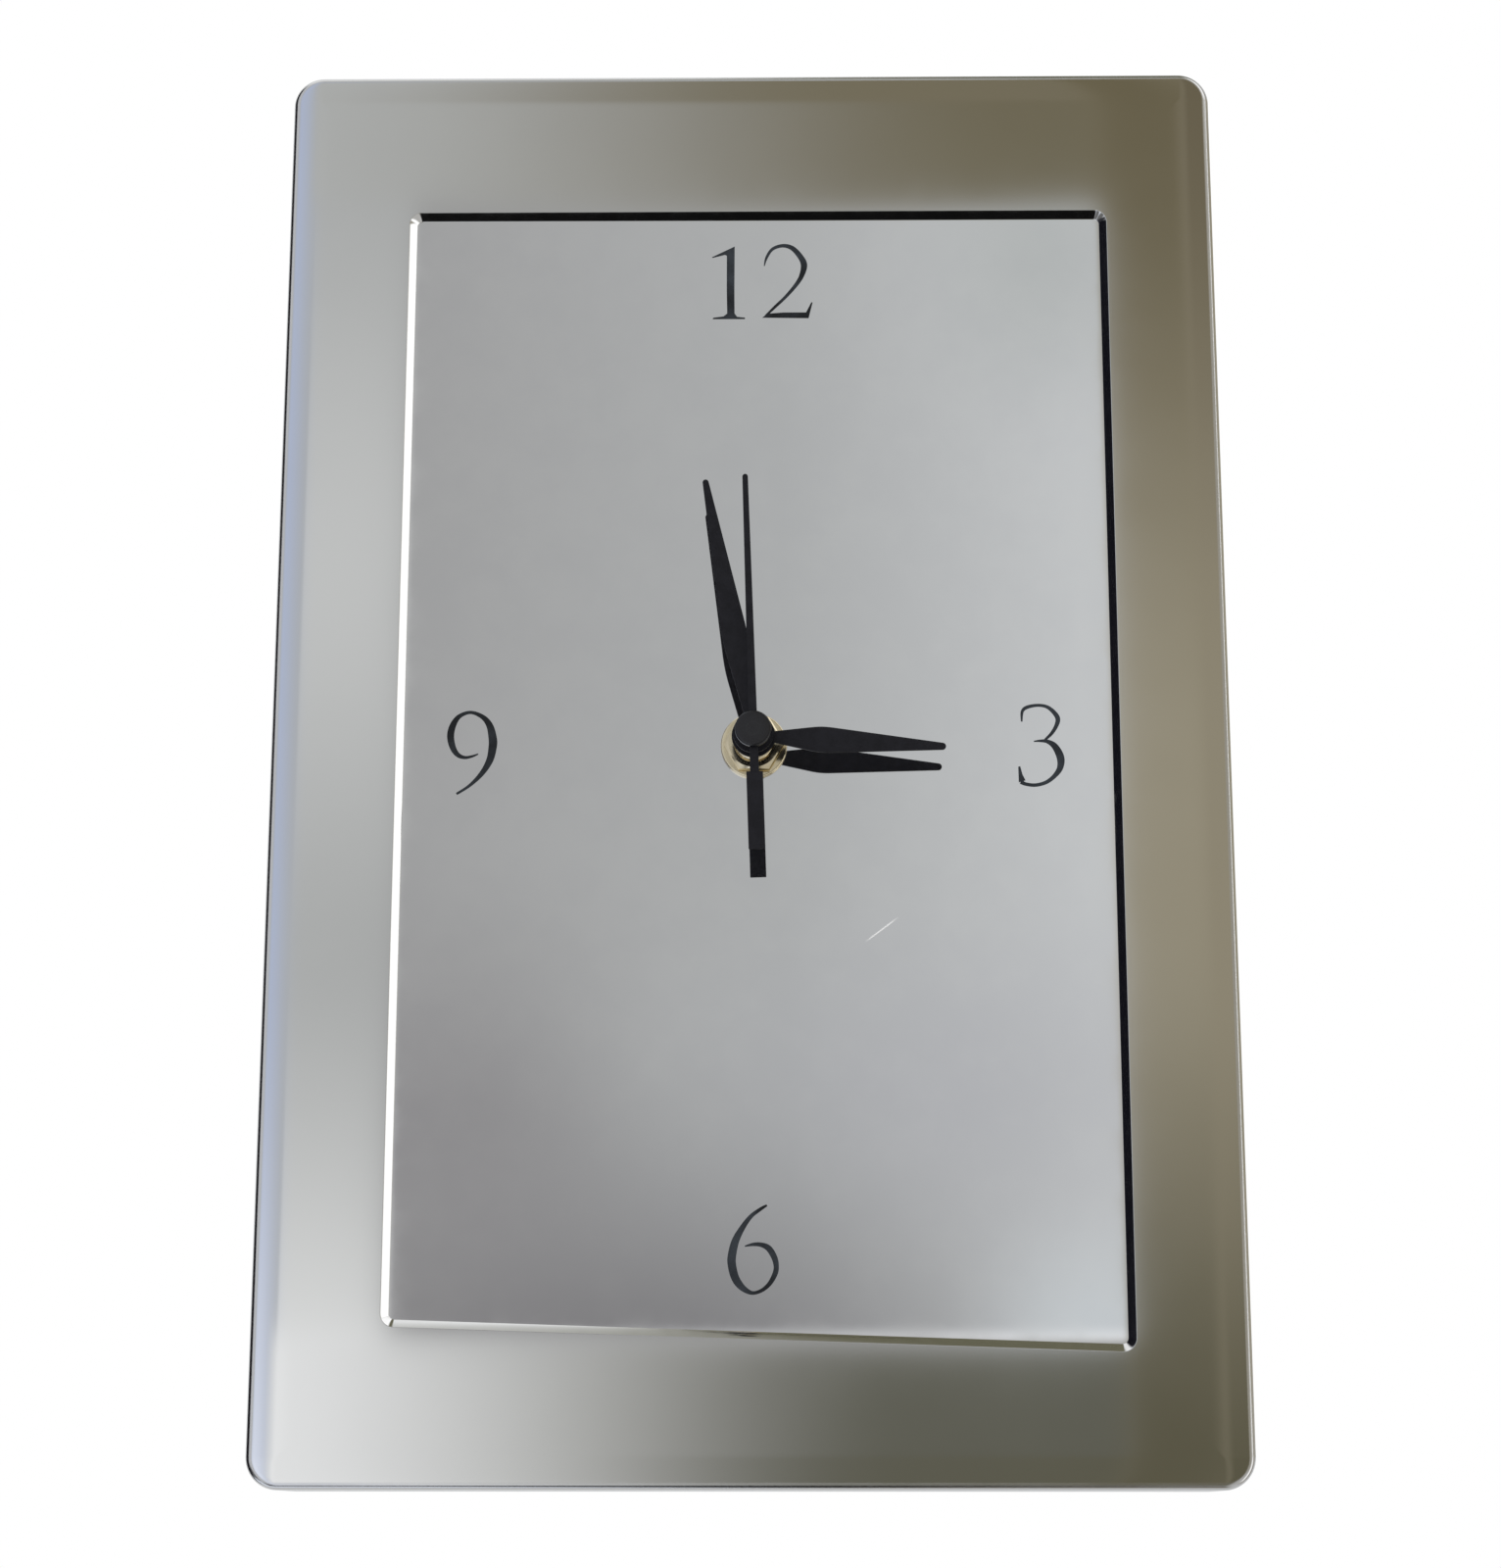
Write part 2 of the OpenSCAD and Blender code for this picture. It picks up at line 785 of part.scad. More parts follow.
module crystal_can() {
    color("silver")
    stand_up()
        translate([circuit_x + 4, circuit_y + 16, floor_z + board_rise + circuit_t + 1])
            rotate([-90, 0, 0])
                cylinder(h = 6, r = 1);
}

module cell() {
    color("darkslategray")
    stand_up()
        translate([cell_x, cell_y, cell_z])
            rotate([0, 90, 0]) {
                cylinder(h = cell_l, r = cell_r);
                translate([0, 0, cell_l - 0.2])
                    cylinder(h = cell_nub + 0.2, r = 2.7);
            }
}

module plus_contact() {
    color("lightgray")
    stand_up()
        translate([bay_end - contact_t, cell_y - 4, cell_z - 5])
            cube([contact_t, 8, 10]);
}

// leaf bent like a bow, its middle on the flat end of the cell
module minus_contact() {
    reach = cell_x + bay_end;
    color("lightgray")
    stand_up()
        translate([-bay_end, cell_y - 4, cell_z])
            rotate([-90, 0, 0])
                linear_extrude(8)
                    polygon([
                        [0, -5],
                        [contact_t, -5],
                        [reach, -1],
                        [reach, 1],
                        [contact_t, 5],
                        [0, 5],
                        [0, 4.4],
                        [reach - contact_t, 0.8],
                        [reach - contact_t, -0.8],
                        [0, -4.4]
                    ]);
}

// involute of the pressure angle, in degrees
function inv_angle(a) = tan(a) * 180 / PI - a;

// half the angle that a tooth fills at radius r
function tooth_half(r, base_r, mid_half, pressure) =
    mid_half + inv_angle(pressure) - inv_angle(acos(min(1, base_r / max(r, base_r))));

// outline of a gear with n teeth of module m: pinions take a positive shift and wheels a negative
// one, which keeps the few teeth of a pinion strong; a tooth points along "at"
module gear(n, m, shift, at) {
    pressure = 20;
    mid_r = n * m / 2;
    base_r = mid_r * cos(pressure);
    tip_r = mid_r + m * (0.85 + shift);
    root_r = mid_r - m * (1.15 - shift);
    mid_half = (90 / n) + (2 * shift * tan(pressure) * m - tooth_play / 2) / mid_r * 90 / PI;
    low_r = max(root_r, base_r * 1.001);
    radii = [root_r, low_r, (low_r + tip_r) / 2, tip_r];
    polygon([for (i = [0:n - 1], side = [-1, 1], k = [0:3])
        let (
            j = side < 0 ? k : 3 - k,
            turn = at + i * 360 / n + side * tooth_half(radii[j], base_r, mid_half, pressure)
        )
        radii[j] * [cos(turn), sin(turn)]]);
}

module wheel(n, m, at) {
    gear(n, m, -pinion_shift, at);
}

module pinion(n, m, at) {
    gear(n, m, pinion_shift, at);
}

// a wheel layer at height z with a gap, not a tooth, facing the direction "toward_dir", and with
// round crossing holes between its rim and its hub
module wheel_layer(n, m, toward_dir, z, hub_r) {
    holes = 6;
    rim_r = m * (n / 2 - 1.15 - pinion_shift) - 1;
    hole_r = min((rim_r - hub_r - 0.5) / 2, 2.4);
    translate([0, 0, z])
        difference() {
            linear_extrude(wheel_t)
                wheel(n, m, toward_dir + 180 / n);
            for (i = [0:holes - 1])
                rotate([0, 0, i * 360 / holes])
                    translate([rim_r - hole_r, 0, -1])
                        cylinder(h = wheel_t + 2, r = hole_r);
        }
}

// a pinion layer that laps its wheel a little on both faces, with a tooth facing "toward_dir"
module pinion_layer(n, m, toward_dir, z) {
    translate([0, 0, z - pinion_lap])
        linear_extrude(wheel_t + 2 * pinion_lap)
            pinion(n, m, toward_dir);
}

module rotor() {
    low = floor_z;
    color("dimgray")
    stand_up()
        translate([rotor_xy.x, rotor_xy.y, 0]) {
            translate([0, 0, low])
                cylinder(h = roof_z - 0.2 - low, r = pin_r);
            pinion_layer(rotor_pinion_n, rotor_m, rotor_dir + 180, fifth_layer);
            translate([0, 0, stator_z - 0.6])
                cylinder(h = stator_t + 1.2, r = rotor_r);
        }
}

module fifth_wheel() {
    color("ivory")
    stand_up()
        translate([fifth_xy.x, fifth_xy.y, 0])
            difference() {
                union() {
                    pinion_layer(fifth_pinion_n, fifth_m, fifth_dir + 180, second_layer);
                    translate([0, 0, second_layer])
                        cylinder(h = fifth_layer - second_layer + 0.1, r = 1.1);
                    wheel_layer(fifth_wheel_n, rotor_m, rotor_dir, fifth_layer, 2.4);
                }
                translate([0, 0, rear_z])
                    cylinder(h = case_d, r = pin_r + run_gap);
            }
}

module third_wheel() {
    color("ivory")
    stand_up()
        translate([third_xy.x, third_xy.y, 0]) {
            translate([0, 0, floor_z])
                cylinder(h = roof_z - 0.2 - floor_z, r = pin_r);
            wheel_layer(third_wheel_n, third_m, third_dir + 180, third_layer, 2.4);
            translate([0, 0, third_layer])
                cylinder(h = centre_layer - third_layer, r = 1);
            pinion_layer(third_pinion_n, centre_m, third_dir + 180, centre_layer);
        }
}

module centre_wheel() {
    color("ivory")
    stand_up()
        difference() {
            union() {
                wheel_layer(centre_wheel_n, centre_m, third_dir, centre_layer, 3.2);
                translate([0, 0, centre_layer])
                    cylinder(h = wheel_t + 0.4, r = 2.6);
            }
            translate([0, 0, rear_z])
                cylinder(h = case_d, r = minute_pipe_r + run_gap);
        }
}

module second_wheel() {
    color("ivory")
    stand_up() {
        translate([0, 0, floor_z])
            cylinder(h = second_z + blade_t / 2 + 0.5 - floor_z, r = arbor_r);
        wheel_layer(second_wheel_n, fifth_m, fifth_dir, second_layer, 2.4);
        translate([0, 0, second_layer])
            cylinder(h = third_layer - second_layer, r = 0.9);
        pinion_layer(second_pinion_n, third_m, third_dir, third_layer);
    }
}

module minute_pipe() {
    low = centre_layer - 0.3;
    color("goldenrod")
    stand_up()
        difference() {
            union() {
                translate([0, 0, low])
                    cylinder(h = minute_z + blade_t / 2 + minute_nut_t + 0.15 - low, r = minute_pipe_r);
                pinion_layer(minute_pinion_n, motion_m, motion_dir, motion_layer);
            }
            translate([0, 0, rear_z])
                cylinder(h = frame_d + minute_up, r = arbor_r + run_gap);
        }
}

module motion_wheel() {
    color("ivory")
    stand_up()
        translate([motion_xy.x, motion_xy.y, 0])
            difference() {
                union() {
                    wheel_layer(motion_wheel_n, motion_m, motion_dir + 180, motion_layer, 2.4);
                    translate([0, 0, motion_layer])
                        cylinder(h = hour_layer - motion_layer, r = 1.2);
                    pinion_layer(motion_pinion_n, hour_m, motion_dir + 180, hour_layer);
                }
                translate([0, 0, rear_z])
                    cylinder(h = case_d, r = 0.7 + run_gap);
            }
}

module hour_wheel() {
    color("ivory")
    stand_up()
        difference() {
            union() {
                wheel_layer(hour_wheel_n, hour_m, motion_dir, hour_layer, 3.2);
                translate([0, 0, hour_layer])
                    cylinder(h = hour_z + blade_t / 2 + 0.2 - hour_layer, r = hour_pipe_r);
            }
            translate([0, 0, rear_z])
                cylinder(h = frame_d + hour_up, r = minute_pipe_r + run_gap);
        }
}

module setting_knob() {
    grip_n = 24;
    color("black")
    stand_up()
        translate([setting_xy.x, setting_xy.y, 0]) {
            pinion_layer(setting_pinion_n, motion_m, setting_dir + 180, motion_layer);
            translate([0, 0, rear_z - 1])
                cylinder(h = motion_layer - rear_z + 1, r = 1.3);
            translate([0, 0, motion_layer])
                cylinder(h = roof_z - 0.2 - motion_layer, r = pin_r + 0.4);
            // grip: a disc with round flutes
            translate([0, 0, rear_z - 3.3])
                linear_extrude(2.7)
                    difference() {
                        circle(r = knob_r);
                        for (i = [0:grip_n - 1])
                            rotate(i * 360 / grip_n)
                                translate([knob_r + 0.25, 0])
                                    circle(r = 0.5);
                    }
        }
}

// blade of a pointed leaf hand: narrow at the hub, widest at "belly", drawn pointing up
function leaf_half(y, eye, belly, length, wide, tip) =
    y < belly
        ? 1.25 + (wide / 2 - 1.25) * pow(sin(90 * max(0, y - eye * 0.9) / (belly - eye * 0.9)), 1.3)
        : tip / 2 + (wide - tip) / 2 * (1 - pow((y - belly) / (length - belly), 1.15));

module leaf_blade(eye, belly, length, wide, tip, bore_r) {
    steps = 14;
    ys = [for (i = [0:steps]) eye * 0.9 + (length - eye * 0.9) * i / steps];
    difference() {
        union() {
            cylinder(h = blade_t, r = eye);
            linear_extrude(blade_t)
                polygon(concat(
                    [[-1.25, 0]],
                    [for (y = ys) [-leaf_half(y, eye, belly, length, wide, tip), y]],
                    [for (i = [steps:-1:0]) [leaf_half(ys[i], eye, belly, length, wide, tip), ys[i]]],
                    [[1.25, 0]]
                ));
        }
        translate([0, 0, -1])
            cylinder(h = blade_t + 2, r = bore_r);
    }
}

module hour_hand() {
    color("black")
    stand_up()
        translate([0, 0, hour_z - blade_t / 2])
            rotate([0, 0, -hour_at])
                leaf_blade(hour_eye_r, 14, hour_l, hour_w, 1.3, 3);
}

module hour_hub() {
    color("black")
    stand_up()
        translate([0, 0, hour_z])
            rotate_extrude()
                polygon([
                    [hour_pipe_r, -2.4],
                    [3.4, -2.4],
                    [3.4, -blade_t / 2],
                    [3, -blade_t / 2],
                    [3, blade_t / 2],
                    [hour_pipe_r, blade_t / 2]
                ]);
}

module minute_hand() {
    color("black")
    stand_up()
        translate([0, 0, minute_z - blade_t / 2])
            rotate([0, 0, -minute_at])
                leaf_blade(minute_eye_r, 20.5, minute_l, minute_w, 1.2, 2.2);
}

module minute_hub() {
    color("black")
    stand_up()
        translate([0, 0, minute_z])
            rotate_extrude()
                polygon([
                    [minute_pipe_r, -1.7],
                    [3, -1.7],
                    [3, -blade_t / 2],
                    [2.2, -blade_t / 2],
                    [2.2, blade_t / 2],
                    [minute_pipe_r, blade_t / 2]
                ]);
}

module minute_nut() {
    color("goldenrod")
    stand_up()
        translate([0, 0, minute_z + blade_t / 2])
            linear_extrude(minute_nut_t)
                difference() {
                    circle(2.9);
                    circle(minute_pipe_r);
                }
}

module second_hand() {
    tail_start = 8.8;
    tail_end = 24.9;
    color("black")
    stand_up()
        translate([0, 0, second_z - blade_t / 2])
            rotate([0, 0, -second_at])
                linear_extrude(blade_t)
                    difference() {
                        union() {
                            polygon([
                                [-0.92, -tail_start],
                                [0.92, -tail_start],
                                [0.88, 0],
                                [0.58, second_l],
                                [-0.58, second_l],
                                [-0.88, 0]
                            ]);
                            translate([-1.7, -tail_end])
                                square([3.4, tail_end - tail_start]);
                            circle(2);
                        }
                        circle(socket_r);
                    }
}

module second_cap() {
    color("black")
    stand_up()
        translate([0, 0, second_z])
            rotate_extrude()
                polygon([
                    [arbor_r, -1.1],
                    [1.3, -1.1],
                    [1.3, -blade_t / 2],
                    [socket_r, -blade_t / 2],
                    [socket_r, blade_t / 2],
                    [cap_r, blade_t / 2],
                    [cap_r, blade_t / 2 + cap_t - 0.25],
                    [cap_r - 0.25, blade_t / 2 + cap_t],
                    [0, blade_t / 2 + cap_t],
                    [0, blade_t / 2 + 0.5],
                    [arbor_r, blade_t / 2 + 0.5]
                ]);
}

frame();
frame_studs();
dial_plate();
backing_board();
stud_washers();
stud_nuts();
hanger_plate();
hanger_rivets();
front_case();
rear_cover();
rubber_gasket();
threaded_bush();
brass_washer();
hex_nut();
stator();
coil_core();
coil_bobbin();
coil_winding();
circuit_board();
driver_chip();
crystal_can();
cell();
plus_contact();
minus_contact();
rotor();
fifth_wheel();
third_wheel();
centre_wheel();
second_wheel();
minute_pipe();
motion_wheel();
hour_wheel();
setting_knob();
hour_hand();
hour_hub();
minute_hand();
minute_hub();
minute_nut();
second_hand();
second_cap();
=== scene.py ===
"""Looks of a framed wall clock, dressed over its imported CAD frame.

Pieces are drawn on a bench, in mm: x right, y up, z out of the wall, with the hand axis at x = y = 0.
Draft.piece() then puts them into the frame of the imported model, in metres.
"""
import json
import logging
import math
from dataclasses import dataclass, field
from enum import Enum

import bmesh
import bpy
import numpy as np
from mathutils import Matrix, Vector


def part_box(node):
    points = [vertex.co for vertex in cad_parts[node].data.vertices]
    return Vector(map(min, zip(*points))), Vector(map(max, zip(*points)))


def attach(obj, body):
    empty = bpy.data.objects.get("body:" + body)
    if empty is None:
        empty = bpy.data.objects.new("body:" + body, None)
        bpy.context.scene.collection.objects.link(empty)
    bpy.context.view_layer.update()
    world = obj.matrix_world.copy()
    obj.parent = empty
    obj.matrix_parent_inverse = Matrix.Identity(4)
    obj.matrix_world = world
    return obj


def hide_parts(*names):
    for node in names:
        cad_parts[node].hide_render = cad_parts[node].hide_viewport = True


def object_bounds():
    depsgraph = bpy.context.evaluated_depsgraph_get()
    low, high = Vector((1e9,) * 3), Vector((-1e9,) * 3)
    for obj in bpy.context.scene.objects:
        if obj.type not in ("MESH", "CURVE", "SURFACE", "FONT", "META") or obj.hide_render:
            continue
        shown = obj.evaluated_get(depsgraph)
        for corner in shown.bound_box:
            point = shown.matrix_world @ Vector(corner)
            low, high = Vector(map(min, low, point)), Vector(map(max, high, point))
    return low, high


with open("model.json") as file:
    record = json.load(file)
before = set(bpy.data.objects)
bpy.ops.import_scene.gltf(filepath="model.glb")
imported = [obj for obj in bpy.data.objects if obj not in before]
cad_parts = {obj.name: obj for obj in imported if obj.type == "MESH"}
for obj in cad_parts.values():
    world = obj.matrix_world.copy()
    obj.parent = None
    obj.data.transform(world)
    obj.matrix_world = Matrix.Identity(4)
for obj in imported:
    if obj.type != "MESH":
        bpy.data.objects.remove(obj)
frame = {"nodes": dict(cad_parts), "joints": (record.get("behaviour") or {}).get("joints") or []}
cad_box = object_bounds()

MM = 0.001
RGB = tuple[float, float, float]
Pair = tuple[float, float]
Socket = bpy.types.NodeSocket
log = logging.getLogger("wall_clock")

AXIS = Vector(next(j["pos_m"] for j in frame["joints"] if j["name"] == "second_turn"))
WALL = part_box("frame")[1].y
UPRIGHT = Matrix.Rotation(math.pi / 2, 4, "X")
BENCH = Matrix.Translation((AXIS.x, WALL, AXIS.z)) @ UPRIGHT @ Matrix.Scale(MM, 4)

# a turned profile that reaches the axis ends this far from it, in mm, which leaves a pinhole in an open one
POLE = 0.001

# how noise becomes marks: weight of each finer octave, spacing of the broad marks against the fine ones, the
# noise that takes a finish from dark to light and from smooth to rough, and the relief against the spacing
FINER_MARKS = 0.55
BROAD_MARKS = 11.0
TONE_SPAN = (0.7, 1.3)
ROUGH_SPAN = (0.3, 0.7)
RELIEF = 0.2


def srgb(red: int, green: int, blue: int) -> RGB:
    """Turn a colour as seen on a screen into the linear values that shaders use."""
    shares = (v / 255 for v in (red, green, blue))
    return tuple(v / 12.92 if v < 0.04045 else ((v + 0.055) / 1.055) ** 2.4 for v in shares)


def arc(middle: Pair, radius: float, start: float, end: float, steps: int) -> list[Pair]:
    """Points of an arc with both its ends, from one angle in degrees to another."""
    turns = np.radians(np.linspace(start, end, steps + 1))
    return [(middle[0] + radius * math.cos(a), middle[1] + radius * math.sin(a)) for a in turns]


def linked(name: str, data: bpy.types.ID) -> bpy.types.Object:
    """Put an object into the scene.

    Args:
        name: its name.
        data: the mesh, lamp or camera that it shows.

    Returns:
        The new object.
    """
    made = bpy.data.objects.new(name, data)
    bpy.context.scene.collection.objects.link(made)
    return made


def smoothed(name: str, mesh: bpy.types.Mesh, crease: float = 32.0) -> bpy.types.Object:
    """Put a mesh into the scene with smooth shading.

    Args:
        name: the object's name.
        mesh: what it shows.
        crease: angle in degrees above which an edge stays sharp.

    Returns:
        The new object.
    """
    mesh.polygons.foreach_set("use_smooth", [True] * len(mesh.polygons))
    mesh.set_sharp_from_angle(angle=math.radians(crease))
    return linked(name, mesh)


class Wiring:
    """Lays and joins the nodes of one shader or geometry tree."""

    def __init__(self, tree: bpy.types.NodeTree) -> None:
        """Start with an empty tree.

        Args:
            tree: the node tree to fill; nodes it already has are removed.
        """
        self.tree = tree
        tree.nodes.clear()

    def add(self, kind: str, feeds: dict | None = None, **settings: object) -> bpy.types.Node:
        """Add one node.

        Args:
            kind: the node's type name.
            feeds: values or output sockets for its inputs, by input name or number.
            settings: properties of the node itself.

        Returns:
            The new node.
        """
        node = self.tree.nodes.new(kind)
        for key, value in settings.items():
            setattr(node, key, value)
        for key, value in (feeds or {}).items():
            if isinstance(value, Socket):
                self.tree.links.new(value, node.inputs[key])
            else:
                node.inputs[key].default_value = value
        return node

    def out(self, kind: str, feeds: dict | None = None, **settings: object) -> Socket:
        """Add one node, as add() does, and give its first output."""
        return self.add(kind, feeds, **settings).outputs[0]

    def maths(self, operation: str, *values: float | Socket) -> Socket:
        """Give the result of one arithmetic step on numbers or sockets."""
        return self.out("ShaderNodeMath", dict(enumerate(values)), operation=operation)

    def spread(self, value: Socket, low: float, high: float, to_low: float, to_high: float) -> Socket:
        """Map a value from one range to another, with soft ends.

        Args:
            value: what is mapped.
            low, high: the range it comes from.
            to_low, to_high: the range it goes to.

        Returns:
            The mapped value.
        """
        feeds = {0: value, 1: low, 2: high, 3: to_low, 4: to_high}
        return self.out("ShaderNodeMapRange", feeds, interpolation_type="SMOOTHSTEP")

    def blend(self, share: float | Socket, first: object, second: object) -> Socket:
        """Mix two colours by a share from 0 to 1."""
        first, second = ((*c, 1.0) if isinstance(c, tuple) and len(c) == 3 else c for c in (first, second))
        return self.add("ShaderNodeMix", {0: share, 6: first, 7: second}, data_type="RGBA").outputs[2]

    def noise(self, place: Socket, pitch: float, detail: float = 3.0) -> Socket:
        """Give a noise whose marks are about as far apart as pitch.

        Args:
            place: where on the piece, in metres.
            pitch: spacing of the marks in mm.
            detail: octaves of finer marks.

        Returns:
            A value near 0.5 that wanders from 0 to 1.
        """
        feeds = {"Vector": place, "Scale": 1.0 / (pitch * MM), "Detail": detail, "Roughness": FINER_MARKS}
        return self.out("ShaderNodeTexNoise", feeds)

    def ramp(self, value: Socket, stops: tuple[tuple[float, RGB], ...]) -> Socket:
        """Colour a value by stops.

        Args:
            value: a number from 0 to 1.
            stops: (position, colour) pairs in rising order.

        Returns:
            The colour.
        """
        node = self.add("ShaderNodeValToRGB", {0: value})
        band = node.color_ramp.elements
        band[0].position, band[0].color = stops[0][0], (*stops[0][1], 1.0)
        band[1].position, band[1].color = stops[-1][0], (*stops[-1][1], 1.0)
        for position, colour in stops[1:-1]:
            band.new(position).color = (*colour, 1.0)
        return node.outputs[0]


class Marks(Enum):
    """How the fine marks of a finish lie."""

    CLOUD = "soft patches"
    BRUSHED = "long fine lines across the width"
    TURNED = "rings about the hand axis"
    FIBRE = "pressed wood fibres"
    GRAIN = "fine moulded grain"


# how lines and fibres are drawn out along the width, and rings along the axis: a small number makes them long
STRETCH = {Marks.BRUSHED: (0.02, 1.0, 1.0), Marks.FIBRE: (0.35, 1.0, 1.0)}
RINGS_DEEP = 0.3


@dataclass(frozen=True)
class Finish:
    """One finish: two tones, a range of roughness and the marks that drive both."""

    name: str
    slot: str
    dark: RGB
    light: RGB
    rough: Pair
    metal: float = 0.0
    marks: Marks = Marks.CLOUD
    pitch: float = 2.0
    bump: float = 0.05
    coat: float = 0.0
    shine: float = 0.5

    def place(self, wires: Wiring) -> Socket:
        """Give the coordinates that the marks follow, in metres on the piece.

        Args:
            wires: the material's tree.

        Returns:
            A socket with the coordinates.
        """
        here = wires.add("ShaderNodeTexCoord").outputs["Object"]
        if self.marks is Marks.TURNED:
            middle = wires.out("ShaderNodeMapping", {0: here, 1: (-AXIS.x, 0.0, -AXIS.z)})
            x, y, z = wires.add("ShaderNodeSeparateXYZ", {0: middle}).outputs
            squares = wires.maths("ADD", wires.maths("MULTIPLY", x, x), wires.maths("MULTIPLY", z, z))
            feeds = {0: wires.maths("SQRT", squares), 1: wires.maths("MULTIPLY", y, RINGS_DEEP)}
            return wires.out("ShaderNodeCombineXYZ", feeds)
        if self.marks in STRETCH:
            return wires.out("ShaderNodeMapping", {0: here, 3: STRETCH[self.marks]})
        return here

    def paint(self, wires: Wiring) -> dict[str, object]:
        """Work out the look from the marks.

        Args:
            wires: the material's tree.

        Returns:
            What goes into the shader, by input name.
        """
        place = self.place(wires)
        fine = wires.noise(place, self.pitch)
        broad = wires.noise(place, self.pitch * BROAD_MARKS, 2.0)
        share = wires.spread(wires.maths("ADD", fine, broad), *TONE_SPAN, 0.0, 1.0)
        feeds = {
            "Base Color": wires.blend(share, self.dark, self.light),
            "Roughness": wires.spread(fine, *ROUGH_SPAN, *self.rough),
            "Metallic": self.metal,
            "Coat Weight": self.coat,
            "Specular IOR Level": self.shine}
        if self.bump:
            relief = {"Strength": self.bump, "Distance": self.pitch * MM * RELIEF, "Height": fine}
            feeds["Normal"] = wires.out("ShaderNodeBump", relief)
        return feeds

    def material(self) -> bpy.types.Material:
        """Make the material, or give the one already made.

        Returns:
            The material of this finish.
        """
        made = bpy.data.materials.get(self.name)
        if made:
            return made
        made = bpy.data.materials.new(self.name)
        made.use_nodes = True
        wires = Wiring(made.node_tree)
        shader = wires.add("ShaderNodeBsdfPrincipled", self.paint(wires))
        wires.add("ShaderNodeOutputMaterial", {0: shader.outputs[0]})
        made.diffuse_color = (*self.light, 1.0)
        return made


@dataclass(frozen=True)
class MirrorSheet(Finish):
    """Polished sheet with a little haze and one fine scratch."""

    scratch: tuple[Pair, Pair] = ((22.6, -41.6), (29.9, -36.1))
    scratch_half: Pair = (0.06, 0.22)
    scratch_full: float = 0.45
    scratch_cut: float = 0.7
    scratch_rough: float = 0.5

    def paint(self, wires: Wiring) -> dict[str, object]:
        """Add the scratch, which scatters light, to the plain sheet; see Finish.paint."""
        feeds = super().paint(wires)
        (x0, y0), (x1, y1) = self.scratch
        turn = math.atan2(y1 - y0, x1 - x0)
        c, s = math.cos(turn), math.sin(turn)
        here = wires.add("ShaderNodeTexCoord").outputs["Object"]
        x, _, z = wires.add("ShaderNodeSeparateXYZ", {0: here}).outputs
        dx = wires.maths("SUBTRACT", x, AXIS.x + (x0 + x1) / 2 * MM)
        dz = wires.maths("SUBTRACT", z, AXIS.z + (y0 + y1) / 2 * MM)
        along = wires.maths("ADD", wires.maths("MULTIPLY", dx, c), wires.maths("MULTIPLY", dz, s))
        across = wires.maths("SUBTRACT", wires.maths("MULTIPLY", dz, c), wires.maths("MULTIPLY", dx, s))
        half = math.hypot(x1 - x0, y1 - y0) / 2 * MM
        edges = (w * MM for w in self.scratch_half)
        on_line = wires.spread(wires.maths("ABSOLUTE", across), *edges, 1.0, 0.0)
        in_reach = wires.spread(wires.maths("ABSOLUTE", along), half * self.scratch_full, half, 1.0, 0.0)
        cut = wires.maths("MULTIPLY", wires.maths("MULTIPLY", on_line, in_reach), self.scratch_cut)
        feeds["Metallic"] = wires.maths("SUBTRACT", self.metal, cut)
        feeds["Roughness"] = wires.maths("MULTIPLY_ADD", cut, self.scratch_rough, feeds["Roughness"])
        return feeds


